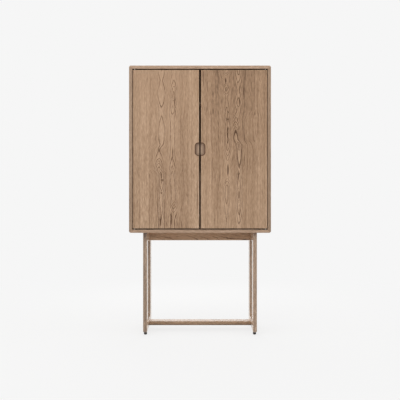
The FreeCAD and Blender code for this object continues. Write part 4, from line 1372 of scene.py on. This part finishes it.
def left_door_figure() -> Figure:
    """Lays out the planks and eyes of the left door, placed from its middle.

    Returns:
        The door's figure.
    """
    main_runs = (
        ArchRun(-0.442, -0.256, -0.004), ArchRun(-0.256, -0.183, -0.006),
        ArchRun(-0.142, -0.112, 0.0, -0.014), ArchRun(-0.138, -0.003, 0.023),
        ArchRun(-0.003, 0.030, 0.0, 0.014), ArchRun(0.008, 0.087, -0.006),
        ArchRun(0.087, 0.211, 0.007), ArchRun(0.211, 0.318, -0.008),
        ArchRun(0.318, 0.385, 0.006), ArchRun(0.385, 0.450, -0.006))
    second_runs = (
        ArchRun(-0.410, -0.350, 0.0, 0.006), ArchRun(-0.400, -0.270, -0.017),
        ArchRun(-0.270, -0.180, 0.0, -0.006), ArchRun(-0.200, 0.0, 0.010),
        ArchRun(0.160, 0.300, -0.008, 0.008), ArchRun(0.300, 0.420, 0.008))
    edge_runs = (ArchRun(-0.34, -0.10, 0.006), ArchRun(0.05, 0.30, -0.006))
    planks = (
        Plank(heart=-0.40, depth=0.05, shade=0.06),
        Plank(heart=-0.026, depth=0.026, start=-0.098, runs=main_runs),
        Plank(heart=0.036, depth=0.046, start=0.006, shade=-0.03, runs=second_runs),
        Plank(heart=0.224, depth=0.034, start=0.128, shade=0.10, first_year=2.0, runs=edge_runs))
    main_eyes = (
        Eye(-0.026, 0.318, 0.014, 0.060, 0.0014, 0.0), Eye(-0.026, 0.090, 0.014, 0.060, 0.0012, 0.0),
        Eye(-0.024, -0.175, 0.008, 0.012, 0.006, 0.6), Eye(-0.026, -0.246, 0.006, 0.010, 0.006, 0.6),
        Eye(-0.031, -0.405, 0.005, 0.035, 0.002, 0.7))
    second_eyes = (
        Eye(0.048, 0.268, 0.005, 0.048, 0.001, 0.6), Eye(0.052, 0.205, 0.003, 0.034, 0.001, 0.5),
        Eye(0.038, -0.020, 0.004, 0.045, 0.001, 0.6), Eye(0.041, -0.330, 0.009, 0.055, 0.0, 0.2),
        Eye(0.030, -0.390, 0.005, 0.045, 0.002, 0.6))
    edge_eyes = (
        Eye(0.172, 0.400, 0.030, 0.160, 0.0, 0.10), Eye(0.172, -0.320, 0.035, 0.200, 0.0, -0.06),
        Eye(0.174, 0.150, 0.0024, 0.080, 0.0, 0.4), Eye(0.176, -0.270, 0.0026, 0.150, 0.0, 0.55))
    return Figure(planks, main_eyes + second_eyes + edge_eyes, fade=-0.05, liveliness=0.90,
                  calming=0.5, scale=DOOR_SCALE)


def right_door_figure() -> Figure:
    """Lays out the planks and eyes of the right door, placed from its middle.

    Returns:
        The door's figure.
    """
    edge_runs = (ArchRun(-0.30, -0.05, -0.006), ArchRun(0.10, 0.35, 0.006))
    first_runs = (
        ArchRun(-0.400, -0.250, -0.006, 0.004), ArchRun(-0.220, -0.150, 0.010, 0.004),
        ArchRun(-0.090, 0.050, -0.012), ArchRun(0.100, 0.290, 0.010, -0.008),
        ArchRun(0.295, 0.335, -0.007), ArchRun(0.340, 0.390, 0.011),
        ArchRun(0.395, 0.450, -0.010))
    main_runs = (
        ArchRun(-0.447, -0.312, -0.008), ArchRun(-0.188, -0.003, -0.016),
        ArchRun(0.020, 0.060, 0.0, -0.018), ArchRun(0.042, 0.217, 0.025),
        ArchRun(0.150, 0.220, 0.0, 0.016), ArchRun(0.217, 0.262, -0.005),
        ArchRun(0.262, 0.329, 0.007), ArchRun(0.329, 0.447, -0.009))
    planks = (
        Plank(heart=-0.226, depth=0.034, shade=0.12, runs=edge_runs),
        Plank(heart=-0.044, depth=0.0332, start=-0.128, runs=first_runs),
        Plank(heart=0.028, depth=0.0345, start=-0.004, shade=-0.02, first_year=5.0, runs=main_runs),
        Plank(heart=0.40, depth=0.05, start=0.118, shade=0.13))
    edge_eyes = (
        Eye(-0.174, 0.405, 0.0032, 0.075, 0.0, 0.6), Eye(-0.175, 0.150, 0.0024, 0.060, 0.0, 0.45))
    first_eyes = (
        Eye(-0.047, 0.388, 0.006, 0.018, 0.002, 0.6), Eye(-0.036, 0.180, 0.004, 0.060, 0.001, 0.35),
        Eye(-0.034, -0.115, 0.0055, 0.040, 0.002, 1.1), Eye(-0.034, -0.255, 0.0025, 0.060, 0.0, 0.5))
    main_eyes = (
        Eye(0.031, 0.275, 0.004, 0.025, 0.001, 0.5), Eye(0.031, 0.022, 0.018, 0.032, -0.008, -0.1),
        Eye(0.024, -0.149, 0.0045, 0.035, 0.001, 0.95), Eye(0.025, -0.255, 0.018, 0.050, -0.008, 0.0),
        Eye(0.0315, -0.365, 0.003, 0.045, 0.0, 0.6))
    return Figure(planks, edge_eyes + first_eyes + main_eyes, fade=-0.28, liveliness=0.87,
                  calming=-0.2, scale=DOOR_SCALE)


# ---- the whole cabinet


def main() -> None:
    """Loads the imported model, dresses it sub-assembly by sub-assembly and sets up the studio."""
    logging.basicConfig(level=logging.INFO, format="%(name)s: %(message)s")
    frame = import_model()
    steel = Steel("satin_steel").material()
    catch_plastic = Plastic("catch_plastic", tint(58, 52, 47), tint(84, 77, 70)).material()
    glide_plastic = Plastic("glide_plastic", tint(46, 40, 36), tint(70, 63, 57)).material()
    shop = Workshop(frame["nodes"], steel, catch_plastic, glide_plastic, CrossScrews(steel))
    Case(shop).build()
    Interior(shop).build()
    Door(shop, Side.LEFT, DOOR_OAK_LEFT, left_door_figure()).build()
    Door(shop, Side.RIGHT, DOOR_OAK_RIGHT, right_door_figure()).build()
    FoldOutShelf(shop).build()
    Base(shop).build()
    Studio().build()


if __name__ == "__main__":
    main()
